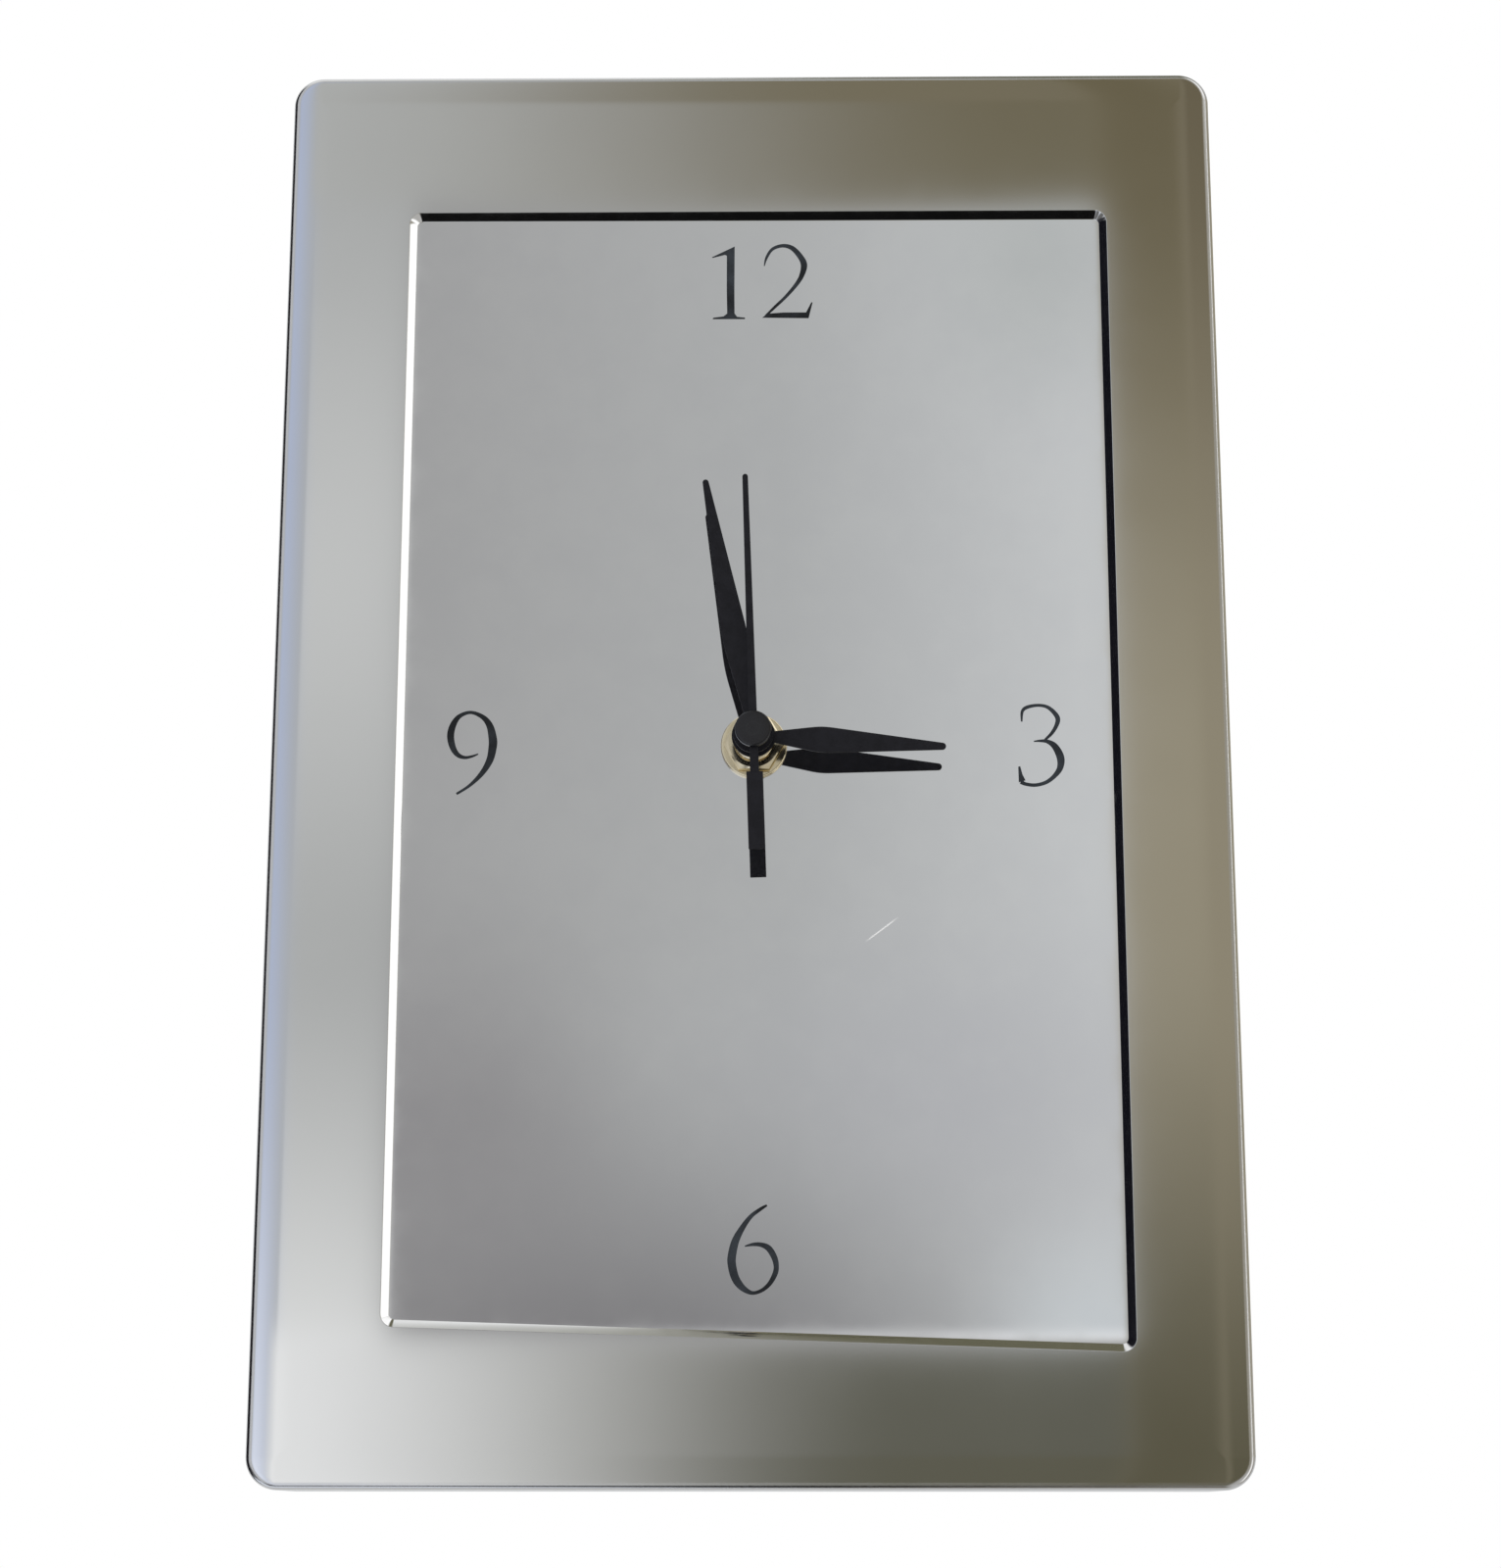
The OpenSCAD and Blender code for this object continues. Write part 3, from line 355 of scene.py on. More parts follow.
@dataclass(frozen=True)
class Finishes:
    """Every finish on the clock."""

    face: Finish = Finish("satin_frame_face", "polished_frame", (0.78, 0.78, 0.775), (0.80, 0.80, 0.795),
                          (0.048, 0.056), 1.0, Marks.CLOUD, 30.0, 0.0)
    rim: Finish = Finish("satin_frame_rim", "polished_frame", (0.77, 0.77, 0.77), (0.80, 0.80, 0.80),
                         (0.17, 0.21), 1.0, Marks.CLOUD, 30.0, 0.0)
    lip: Finish = Finish("polished_lip", "polished_frame", (0.86, 0.86, 0.86), (0.90, 0.90, 0.90),
                         (0.05, 0.08), 1.0, Marks.CLOUD, 3.0, 0.0)
    inside: Finish = Finish("raw_frame_inside", "polished_frame", (0.42, 0.42, 0.41), (0.58, 0.58, 0.57),
                            (0.38, 0.55), 1.0, Marks.BRUSHED, 0.5, 0.1)
    dial: Finish = MirrorSheet("mirror_dial_sheet", "mirror_dial", (0.91, 0.91, 0.92), (0.94, 0.94, 0.945),
                               (0.015, 0.03), 1.0, Marks.CLOUD, 9.0, 0.0)
    # the ink's light tone, blue-grey and laid in soft patches, is partly the print's own tone and partly a
    # painted reflection of the glossy strokes
    ink: Finish = Finish("numeral_ink", "black_hand", srgb(22, 24, 27), srgb(50, 55, 61), (0.4, 0.55),
                         0.0, Marks.CLOUD, 5.0, 0.0, 0.0, 0.25)
    hand: Finish = Finish("hand_lacquer", "black_hand", srgb(24, 24, 28), srgb(31, 31, 36), (0.38, 0.5),
                          0.0, Marks.GRAIN, 0.25, 0.04, 0.0, 0.15)
    under: Finish = Finish("hand_underside", "black_hand", srgb(40, 40, 46), srgb(47, 47, 53), (0.4, 0.55),
                           0.0, Marks.GRAIN, 0.25, 0.04, 0.0, 0.15)
    hub: Finish = Finish("hub_lacquer", "black_hand", srgb(20, 20, 24), srgb(27, 27, 31), (0.2, 0.28),
                         0.0, Marks.TURNED, 0.3, 0.03, 0.0, 0.5)
    brass: Finish = Finish("turned_brass", "brass", (0.84, 0.72, 0.48), (0.93, 0.84, 0.63), (0.1, 0.2),
                           1.0, Marks.TURNED, 0.12, 0.05)
    zinc: Finish = Finish("zinc_plated_steel", "zinc_steel", (0.52, 0.53, 0.55), (0.70, 0.71, 0.72),
                          (0.26, 0.42), 1.0, Marks.CLOUD, 0.8, 0.03)
    board: Finish = Finish("hardboard", "board", srgb(98, 70, 46), srgb(128, 95, 64), (0.68, 0.88),
                           0.0, Marks.FIBRE, 0.9, 0.5)
    case: Finish = Finish("moulded_black", "black_case", srgb(26, 26, 28), srgb(40, 40, 43), (0.42, 0.6),
                          0.0, Marks.GRAIN, 0.25, 0.35)
    rubber: Finish = Finish("black_rubber_sheet", "black_rubber", srgb(20, 20, 21), srgb(36, 36, 37),
                            (0.7, 0.9), 0.0, Marks.GRAIN, 0.5, 0.2)
    iron: Finish = Finish("annealed_iron", "soft_iron", (0.30, 0.30, 0.32), (0.46, 0.46, 0.47), (0.3, 0.5),
                          1.0, Marks.CLOUD, 0.6, 0.05)
    copper: Finish = Finish("enamelled_copper", "copper_wire", srgb(120, 52, 22), srgb(178, 92, 48),
                            (0.18, 0.3), 0.8, Marks.CLOUD, 0.7, 0.0, 0.4)
    bobbin: Finish = Finish("bobbin_nylon", "bobbin_plastic", srgb(214, 206, 186), srgb(236, 230, 214),
                            (0.4, 0.55), 0.0, Marks.GRAIN, 0.4, 0.06)
    laminate: Finish = Finish("green_laminate", "circuit_laminate", srgb(18, 66, 42), srgb(36, 98, 62),
                              (0.25, 0.4), 0.0, Marks.BRUSHED, 0.5, 0.08)
    resin: Finish = Finish("chip_resin_black", "chip_resin", srgb(14, 14, 15), srgb(28, 28, 29), (0.25, 0.4),
                           0.0, Marks.CLOUD, 0.5, 0.06)
    wrap: Finish = Finish("cell_wrapper", "cell_wrap", srgb(34, 50, 70), srgb(40, 58, 80), (0.24, 0.3),
                          0.0, Marks.CLOUD, 3.0, 0.0, 0.5)
    gear: Finish = Finish("acetal_gear", "gear_plastic", srgb(216, 212, 200), srgb(240, 237, 228),
                          (0.32, 0.48), 0.0, Marks.GRAIN, 0.3, 0.04)
    floor: Finish = Finish("pale_floor", "", (0.875, 0.875, 0.875), (0.89, 0.89, 0.89), (0.8, 0.9),
                           pitch=40.0, bump=0.0)


FINISH = Finishes()


@dataclass
class Draft:
    """A mesh in the making: bench points, faces, and the finish number of each face."""

    points: list = field(default_factory=list)
    faces: list = field(default_factory=list)
    marks: list = field(default_factory=list)

    def absorb(self, mesh: bpy.types.Mesh, place: Matrix) -> None:
        """Add a finished mesh in the first finish, and remove the original.

        Args:
            mesh: what to add.
            place: where it goes on the bench.
        """
        base = len(self.points)
        self.points += [tuple(place @ v.co) for v in mesh.vertices]
        self.faces += [tuple(base + i for i in p.vertices) for p in mesh.polygons]
        self.marks += [0] * len(mesh.polygons)
        bpy.data.meshes.remove(mesh)

    def loops(self, rings: list, marks: list | int = 0, closed: bool = True, capped: bool = False) -> None:
        """Join rings of equal length into a skin.

        Args:
            rings: lists of points, each a closed loop.
            marks: a finish number for the strip after each ring, or one for all.
            closed: whether the last ring joins the first.
            capped: whether the first and the last ring are filled.
        """
        count, base = len(rings[0]), len(self.points)
        self.points += [tuple(float(v) for v in p) for ring in rings for p in ring]
        for i in range(len(rings) if closed else len(rings) - 1):
            here, there = base + i * count, base + (i + 1) % len(rings) * count
            for k in range(count):
                m = (k + 1) % count
                self.faces.append((here + k, here + m, there + m, there + k))
                self.marks.append(marks if isinstance(marks, int) else marks[i])
        if capped:
            last = len(self.points) - count
            self.faces += [tuple(range(base, base + count))[::-1], tuple(range(last, last + count))]
            self.marks += [0, 0]

    def turned(self, profile: list, steps: int = 72, marks: list | int = 0, closed: bool = True) -> None:
        """Turn a profile about the hand axis.

        Args:
            profile: (radius, height) points.
            steps: points round the circle.
            marks: finish numbers as for loops().
            closed: whether the profile closes on itself; an open one starts and ends at the radius POLE.
        """
        angles = np.linspace(0, 2 * math.pi, steps, endpoint=False)
        rings = [[(r * math.cos(a), r * math.sin(a), z) for a in angles] for r, z in profile]
        self.loops(rings, marks, closed)

    def slab(self, outline: list, low: float, high: float) -> None:
        """Add a flat plate with straight sides.

        Args:
            outline: its (x, y) corners in order.
            low, high: its two faces.
        """
        self.loops([[(x, y, z) for x, y in outline] for z in (low, high)], closed=False, capped=True)

    def hexed(self, flats: float, bore: float, low: float, high: float, steps: int) -> None:
        """Add a hexagon nut about the axis, its corners chamfered at both faces.

        Args:
            flats: width across the flats.
            bore: radius of the hole.
            low, high: its two faces.
            steps: points round it, a multiple of 12.
        """
        angles = np.linspace(0, 2 * math.pi, steps, endpoint=False)
        flat = flats / 2 / np.cos(angles % (math.pi / 3) - math.pi / 6)
        face, edge = 0.95 * flats / 2, 0.15
        drop = (flat - face) * math.tan(math.radians(30))
        rows = [(bore, low + edge), (bore + edge, low), (face, low), (flat, low + drop), (flat, high - drop),
                (face, high), (bore + edge, high), (bore, high - edge)]
        across, up, ones = np.cos(angles), np.sin(angles), np.ones(steps)
        self.loops([list(zip(r * across, r * up, z * ones)) for r, z in rows])

    def below(self, height: float, mark: int) -> None:
        """Give the faces that lie no higher than a height another finish."""
        low = [all(self.points[i][2] <= height for i in f) for f in self.faces]
        self.marks = [mark if under else m for under, m in zip(low, self.marks)]

    def moved(self, place: Matrix) -> None:
        """Move every point."""
        self.points = [tuple(place @ Vector(p)) for p in self.points]

    def master(self) -> bpy.types.Object:
        """Make a plain object on the bench, for a recipe to copy.

        Returns:
            The new object.
        """
        mesh = bpy.data.meshes.new("master")
        mesh.from_pydata(self.points, [], self.faces)
        return linked("master", mesh)

    def piece(self, name: str, finishes: list[Finish], crease: float = 32.0) -> bpy.types.Object:
        """Make the object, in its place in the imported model.

        Args:
            name: the piece's name.
            finishes: its finishes, by number.
            crease: angle in degrees above which an edge stays sharp.

        Returns:
            The new object.
        """
        mesh = bpy.data.meshes.new(name)
        mesh.from_pydata(self.points, [], self.faces)
        mesh.polygons.foreach_set("material_index", self.marks)
        work = bmesh.new()
        work.from_mesh(mesh)
        bmesh.ops.remove_doubles(work, verts=work.verts, dist=1e-5)
        bmesh.ops.recalc_face_normals(work, faces=work.faces)
        work.to_mesh(mesh)
        work.free()
        mesh.transform(BENCH)
        for finish in finishes:
            mesh.materials.append(finish.material())
        return smoothed(name, mesh, crease)


def settle(piece: bpy.types.Object, body: str, finish: Finish, *nodes: str) -> None:
    """Let a piece ride on a body, hide the CAD nodes that it stands for, and report it.

    Args:
        piece: the piece.
        body: the body it rides on.
        finish: not used.
        nodes: the CAD nodes that it stands for, if any.
    """
    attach(piece, body)
    if nodes:
        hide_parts(*nodes)
    log.info("%s rides on %s, %d faces%s", piece.name, body, len(piece.data.polygons),
             f", for {', '.join(nodes)}" if nodes else "")


def dress(node: str, finish: Finish) -> None:
    """Give a CAD node that keeps its shape its finish.

    Args:
        node: the CAD node.
        finish: its finish.
    """
    for slot in frame["nodes"][node].material_slots:
        slot.material = finish.material()
    log.info("%s keeps its shape, in %s", node, finish.name)


class Recipe:
    """A geometry tree with named inputs that makes one mesh on the bench."""

    def __init__(self, name: str, inputs: dict[str, str]) -> None:
        """Start a tree.

        Args:
            name: the tree's name.
            inputs: socket type by input name.
        """
        self.tree = bpy.data.node_groups.new(name, "GeometryNodeTree")
        self.wires = Wiring(self.tree)
        self.keys = {n: self.tree.interface.new_socket(n, in_out="INPUT", socket_type=kind).identifier
                     for n, kind in {**inputs, "Finish": "NodeSocketMaterial"}.items()}
        self.tree.interface.new_socket("Mesh", in_out="OUTPUT", socket_type="NodeSocketGeometry")
        self.given = self.wires.add("NodeGroupInput").outputs

    def close(self, shape: Socket) -> None:
        """End the tree: real meshes, with their material.

        Args:
            shape: the geometry that the tree has made.
        """
        real = self.wires.out("GeometryNodeRealizeInstances", {0: shape})
        feeds = {"Geometry": real, "Material": self.given["Finish"]}
        self.wires.add("NodeGroupOutput", {0: self.wires.out("GeometryNodeSetMaterial", feeds)})

    def mesh(self, finish: Finish, **values: object) -> bpy.types.Mesh:
        """Run the tree.

        Args:
            finish: the finish it sets.
            values: its inputs, by name with _ for a space.

        Returns:
            A plain mesh.
        """
        holder = linked(self.tree.name, bpy.data.meshes.new(self.tree.name))
        modifier = holder.modifiers.new("recipe", "NODES")
        modifier.node_group = self.tree
        for key, value in values.items():
            modifier[self.keys[key.replace("_", " ")]] = value
        modifier[self.keys["Finish"]] = finish.material()
        seen = holder.evaluated_get(bpy.context.evaluated_depsgraph_get())
        made = bpy.data.meshes.new_from_object(seen)
        blank = holder.data
        bpy.data.objects.remove(holder)
        bpy.data.meshes.remove(blank)
        return made


def leaf_recipe() -> Recipe:
    """Make the tree of a leaf hand's blade: it widens to its belly, then narrows to a round tip.

    Returns:
        The recipe; its inputs are the blade's sizes in mm.
    """
    numbers = ("Root", "Belly", "Length", "Root width", "Belly width", "Tip width", "Thickness")
    crowd_at_tip, belly_peak, belly_blend, tip_least = 1.7, 0.25, 1.5, 0.004
    recipe = Recipe("leaf_blade", {n: "NodeSocketFloat" for n in numbers})
    wires, maths = recipe.wires, recipe.wires.maths
    root, belly, length, root_width, belly_width, tip_width, thickness = (recipe.given[n] for n in numbers)
    lines = {"Size X": 2.0, "Size Y": 1.0, "Vertices X": 5, "Vertices Y": 81}
    grid = wires.out("GeometryNodeMeshGrid", lines)
    here = wires.out("GeometryNodeInputPosition")
    side, along, _ = wires.add("ShaderNodeSeparateXYZ", {0: here}).outputs
    share = maths("SUBTRACT", 1.0, maths("POWER", maths("SUBTRACT", 0.5, along), crowd_at_tip))
    reach = maths("MULTIPLY_ADD", share, maths("SUBTRACT", length, root), root)

    def straight(start: Socket, end: Socket, *ends: Socket, clamp: bool = False) -> Socket:
        """Map the reach along the blade evenly from start and end to two ends, or to 0 and 1."""
        feeds = dict(enumerate((reach, start, end, *ends)))
        return wires.out("ShaderNodeMapRange", feeds, interpolation_type="LINEAR", clamp=clamp)

    peak = maths("ADD", belly_width, belly_peak)
    grow = straight(root, belly, root_width, peak)
    drop = straight(belly, length, peak, tip_width)
    width = maths("SMOOTH_MIN", grow, drop, belly_blend)
    nose = straight(maths("MULTIPLY_ADD", tip_width, -0.5, length), length, clamp=True)
    left = maths("MAXIMUM", maths("SUBTRACT", 1.0, maths("MULTIPLY", nose, nose)), tip_least)
    half = maths("MULTIPLY", maths("MULTIPLY", width, 0.5), maths("SQRT", left))
    spot = wires.out("ShaderNodeCombineXYZ", {0: maths("MULTIPLY", side, half), 1: reach})
    flat = wires.out("GeometryNodeSetPosition", {"Geometry": grid, "Position": spot})
    lift = wires.out("ShaderNodeCombineXYZ", {2: thickness})
    feeds = {"Mesh": flat, "Offset": lift, "Individual": False, "Offset Scale": 1.0}
    both = wires.add("GeometryNodeJoinGeometry")
    wires.tree.links.new(wires.out("GeometryNodeExtrudeMesh", feeds), both.inputs[0])
    wires.tree.links.new(wires.out("GeometryNodeFlipFaces", {0: flat}), both.inputs[0])
    recipe.close(wires.out("GeometryNodeMergeByDistance", {0: both.outputs[0], "Distance": 0.0005}))
    return recipe


def rows_recipe() -> Recipe:
    """Make the tree that stands copies of one piece on the points of a grid.

    Returns:
        The recipe; its inputs are the piece, the size of the grid in mm and its counts.
    """
    sizes, counts = ("Across", "Up"), ("Columns", "Rows")
    recipe = Recipe("rows", {"Piece": "NodeSocketObject", **{n: "NodeSocketFloat" for n in sizes},
                             **{n: "NodeSocketInt" for n in counts}})
    wires, give = recipe.wires, recipe.given
    lines = {"Size X": give["Across"], "Size Y": give["Up"],
             "Vertices X": give["Columns"], "Vertices Y": give["Rows"]}
    grid = wires.out("GeometryNodeMeshGrid", lines)
    piece = wires.add("GeometryNodeObjectInfo", {0: give["Piece"]}).outputs["Geometry"]
    recipe.close(wires.out("GeometryNodeInstanceOnPoints", {"Points": grid, "Instance": piece}))
    return recipe


def helix_recipe() -> Recipe:
    """Make the tree of a thread or a winding: a round section swept along a helix.

    Returns:
        The recipe; its inputs are the sizes in mm, the turns and the counts of points.
    """
    sizes, counts = ("Radius", "Height", "Turns", "Wire"), ("Steps", "Sides")
    recipe = Recipe("helix", {**{n: "NodeSocketFloat" for n in sizes},
                              **{n: "NodeSocketInt" for n in counts}})
    wires, give = recipe.wires, recipe.given
    path = wires.out("GeometryNodeCurveSpiral", {
        "Resolution": give["Steps"], "Rotations": give["Turns"], "Height": give["Height"],
        "Start Radius": give["Radius"], "End Radius": give["Radius"]})
    ring = {"Resolution": give["Sides"], "Radius": give["Wire"]}
    section = wires.out("GeometryNodeCurvePrimitiveCircle", ring)
    feeds = {"Curve": path, "Profile Curve": section, "Fill Caps": True}
    recipe.close(wires.out("GeometryNodeCurveToMesh", feeds))
    return recipe


@dataclass
class FrameShell:
    """The folded sheet frame: one closed section swept round its outline and its opening."""

    width: float = 200.0
    height: float = 302.5
    depth: float = 26.4
    sheet: float = 1.2
    corner: float = 6.5
    edge: float = 1.6
    flange: float = 8.0
    axis_off: float = 0.8
    open_half: float = 73.85
    open_off: float = 0.8
    open_up: float = 117.5
    open_down: float = 117.9
    open_slant: float = 4.9
    open_round: float = 1.2
    bevel: float = 1.3
    bevel_out: float = 1.55
    lip: float = 2.3
    sink: float = 1.4
    fall: float = 0.19
    fall_run: float = 8.0
    flange_corner: float = 4.5
    least_corner: float = 0.2
    wall_gap: float = 0.04
    wall_edge: tuple[Pair, ...] = ((0.35, 0.0), (0.1, 0.1), (0.0, 0.35))
    lip_soft: float = 0.08
    hair: float = 0.05
    arc_steps: int = 14
    edge_steps: int = 12
    lip_steps: int = 5

    def outline(self, inset: float, radius: float | None = None) -> list[Pair]:
        """Points of the outer outline, drawn in from the outside.

        Args:
            inset: how far in.
            radius: corner radius, or None for the one that follows the inset.

        Returns:
            The points of four corner arcs, in order.
        """
        r = max(self.corner - inset, self.least_corner) if radius is None else radius
        w, h = self.width / 2 - inset - r, self.height / 2 - inset - r
        points = []
        for k, (sx, sy) in enumerate(((-1, -1), (1, -1), (1, 1), (-1, 1))):
            points += arc((sx * w - self.axis_off, sy * h), r, 180 + 90 * k, 270 + 90 * k, self.arc_steps)
        return points

    def opening(self, out: float) -> list[Pair]:
        """Points of the opening.

        Args:
            out: how much larger it is on every side.

        Returns:
            The points of four corner arcs, in order.
        """
        lean = math.atan2(self.open_slant, 2 * self.open_half)
        r, top = self.open_round, self.open_up - self.open_round
        left, right = self.open_off - self.open_half + r, self.open_off + self.open_half - r
        base = r / math.cos(lean) - self.open_down
        first, last = (base - (x - left + r) * math.tan(lean) for x in (left, right))
        tilt = math.degrees(lean)
        corners = (((left, first), 180, 270 - tilt), ((right, last), 270 - tilt, 360),
                   ((right, top), 0, 90), ((left, top), 90, 180))
        points = []
        for middle, start, end in corners:
            points += arc(middle, r + out, start, end, self.arc_steps)
        return points

    def section(self) -> tuple[list, list]:
        """Rings of the section, from the wall flange round the face and back.

        Returns:
            The rings, and the finish number of the strip after each.
        """
        rings, marks = [], []

        def ring(points: list[Pair], z: float, mark: int) -> None:
            """Add one ring at a height."""
            rings.append([(x, y, z) for x, y in points])
            marks.append(mark)

        d, e, t = self.depth, self.edge, self.sheet
        ring(self.outline(self.flange, self.flange_corner), self.wall_gap, 2)
        for inset, up in self.wall_edge:
            ring(self.outline(inset), self.wall_gap + up, 3)
        last = math.radians(90) - math.atan(3 * self.fall / self.fall_run)
        low = d - self.fall - e * math.sin(last)
        ring(self.outline(0), low - self.hair, 3)
        for a in np.linspace(0, last, self.edge_steps + 1):
            ring(self.outline(e * (1 - math.cos(a))), low + e * math.sin(a), 3)
        marks[-1] = 0
        for u in np.linspace(0, 1, self.edge_steps + 1)[1:]:
            ring(self.outline(e * (1 - math.cos(last)) + u * self.fall_run), d - self.fall * (1 - u) ** 3, 0)
        soft, lean = self.lip_soft, math.atan2(self.bevel, self.bevel_out)
        run, drop = soft * math.tan(lean / 2), soft * math.tan(math.pi / 4 - lean / 2)
        ring(self.opening(self.bevel_out + run + self.hair), d, 0)
        for a in np.linspace(0, lean, self.lip_steps + 1):
            ring(self.opening(self.bevel_out + run - soft * math.sin(a)), d - soft + soft * math.cos(a), 1)
        for a in np.linspace(lean, math.pi / 2, self.lip_steps + 1):
            ring(self.opening(soft * (1 - math.sin(a))), d - self.bevel - drop + soft * math.cos(a), 1)
        ring(self.opening(0), d - self.sink, 2)
        ring(self.opening(self.lip), d - self.sink, 2)
        ring(self.opening(self.lip), d - t, 2)
        ring(self.outline(e + self.fall_run), d - t, 2)
        for a in np.linspace(math.pi / 2, 0, self.edge_steps // 2 + 1):
            ring(self.outline(t + (e - t) * (1 - math.cos(a))), d - e - self.fall + (e - t) * math.sin(a), 2)
        ring(self.outline(t), t, 2)
        ring(self.outline(self.flange, self.flange_corner), t, 2)
        return rings, marks

    def build(self) -> None:
        """Make the shell in place of the CAD frame."""
        draft = Draft()
        rings, marks = self.section()
        draft.loops(rings, marks)
        shell = draft.piece("frame_shell", [FINISH.face, FINISH.lip, FINISH.inside, FINISH.rim])
        settle(shell, "clock", FINISH.face, "frame")


@dataclass
class Numerals:
    """The four printed numbers, drawn with a broad pen: (x, y, width) along each stroke."""

    dial: float = 25.0
    height: float = 0.04
    bleed: float = 0.14
    clear: float = 0.004
    layer: float = 0.003
    cut_up: float = 0.02
    thinnest: float = 0.1
    pens: tuple = (
        ((2.2, 107.0, .06), (2.7, 108.9, .42), (3.95, 110.85, .54), (6.15, 111.65, .66), (8.3, 111.05, .9),
         (10.1, 108.95, 1.1), (10.8, 107.05, 1.25), (10.2, 104.55, .9), (8.9, 102.4, .7), (6.75, 99.8, .54),
         (4.55, 97.6, .48), (2.4, 95.4, .3)),
        ((-61.85, -10.05, .36), (-59.15, -8.25, .5), (-56.65, -5.65, .92), (-55.05, -2.8, 1.33),
         (-54.5, .1, 1.6), (-54.55, 1.95, 1.6), (-55.2, 4.55, 1.28), (-56.65, 6.4, .87), (-59.2, 7.45, .56),
         (-61.55, 6.65, .77), (-62.85, 4.8, 1.18), (-63.35, 2.5, 1.33), (-62.9, .1, 1.18),
         (-61.85, -1.6, .87), (-60.35, -2.25, .56), (-58.75, -2.0, .36), (-57.5, -1.5, .15)),
        ((55.85, 5.2, .2), (56.0, 7.35, .5), (57.05, 8.3, .6), (59.3, 8.7, .5), (61.3, 8.3, .6),
         (62.8, 6.95, .8), (63.4, 5.65, .86), (62.95, 4.1, .7), (61.95, 2.55, .55), (60.65, 1.3, .35)),
        ((58.3, .95, .1), (59.65, 1.05, .4), (61.15, .9, .7), (62.65, -.15, 1.2), (63.75, -2.45, 1.46),
         (63.65, -4.65, 1.16), (62.5, -6.4, .8), (60.7, -7.8, .65), (58.5, -8.4, .6), (56.5, -8.2, .6),
         (55.4, -7.7, .75)),
        ((2.65, -95.2, .27), (1.4, -95.95, .54), (-.65, -97.5, .7), (-2.45, -99.95, 1.03),
         (-3.75, -102.5, 1.4), (-4.4, -105.35, 1.56), (-4.4, -107.1, 1.56), (-3.85, -109.4, 1.5),
         (-2.95, -110.95, 1.35), (-1.7, -112.1, .97), (-.15, -112.7, .59), (1.65, -112.15, .59),
         (3.2, -110.8, .76), (4.25, -108.9, .92), (4.5, -107.4, .92), (4.1, -105.6, 1.08),
         (2.95, -103.8, 1.08), (1.4, -103.1, .76), (-.15, -103.05, .54), (-1.8, -103.4, .11)))
    cuts: tuple = (
        ((-8.9, 94.8), (-1.95, 94.8), (-1.95, 95.1), (-3.65, 95.3), (-4.2, 96.05), (-4.25, 101.3),
         (-4.2, 111.5), (-9.1, 109.05), (-9.0, 108.9), (-6.3, 109.6), (-5.9, 109.4), (-5.9, 101.3),
         (-5.8, 96.05), (-6.6, 95.4), (-8.8, 95.1)),
        ((1.75, 95.1), (11.75, 94.95), (12.6, 98.5), (12.35, 98.6), (11.2, 96.25), (6.4, 96.25),
         (3.0, 96.0)),
        ((54.95, -4.5), (55.0, -7.8), (56.4, -7.4), (55.8, -6.15), (55.35, -4.35)))

    @staticmethod
    def eased(knots: tuple, parts: int = 7) -> np.ndarray:
        """Run a smooth curve through knots.

        Args:
            knots: the points to pass.
            parts: steps between two of them.

        Returns:
            The points of the curve.
        """
        k = np.array([knots[0], *knots, knots[-1]], float)
        steps = np.linspace(0, 1, parts, endpoint=False)[:, None]
        runs = [0.5 * (2 * b + (c - a) * steps + (2 * a - 5 * b + 4 * c - d) * steps**2
                       + (3 * b - a - 3 * c + d) * steps**3)
                for a, b, c, d in zip(k, k[1:], k[2:], k[3:])]
        return np.vstack([*runs, k[-1:]])

    def build(self) -> None:
        """Print the numerals on the dial plate."""
        draft = Draft()
        low, high = self.dial + self.clear, self.dial + self.height
        for n, knots in enumerate(self.pens):
            line = self.eased(knots)
            way = np.gradient(line[:, :2], axis=0)
            way /= np.linalg.norm(way, axis=1)[:, None]
            width = np.maximum(line[:, 2:] + self.bleed, self.thinnest)
            off = np.stack([-way[:, 1], way[:, 0]], axis=1) * width / 2
            z = high + self.layer * n
            sides = zip(line[:, :2] + off, line[:, :2] - off)
            rings = [[(*a, low), (*b, low), (*b, z), (*a, z)] for a, b in sides]
            draft.loops(rings, closed=False, capped=True)
        for n, outline in enumerate(self.cuts):
            draft.slab(outline, low, high + self.cut_up + self.layer * n)
        settle(draft.piece("numerals", [FINISH.ink]), "clock", FINISH.ink)


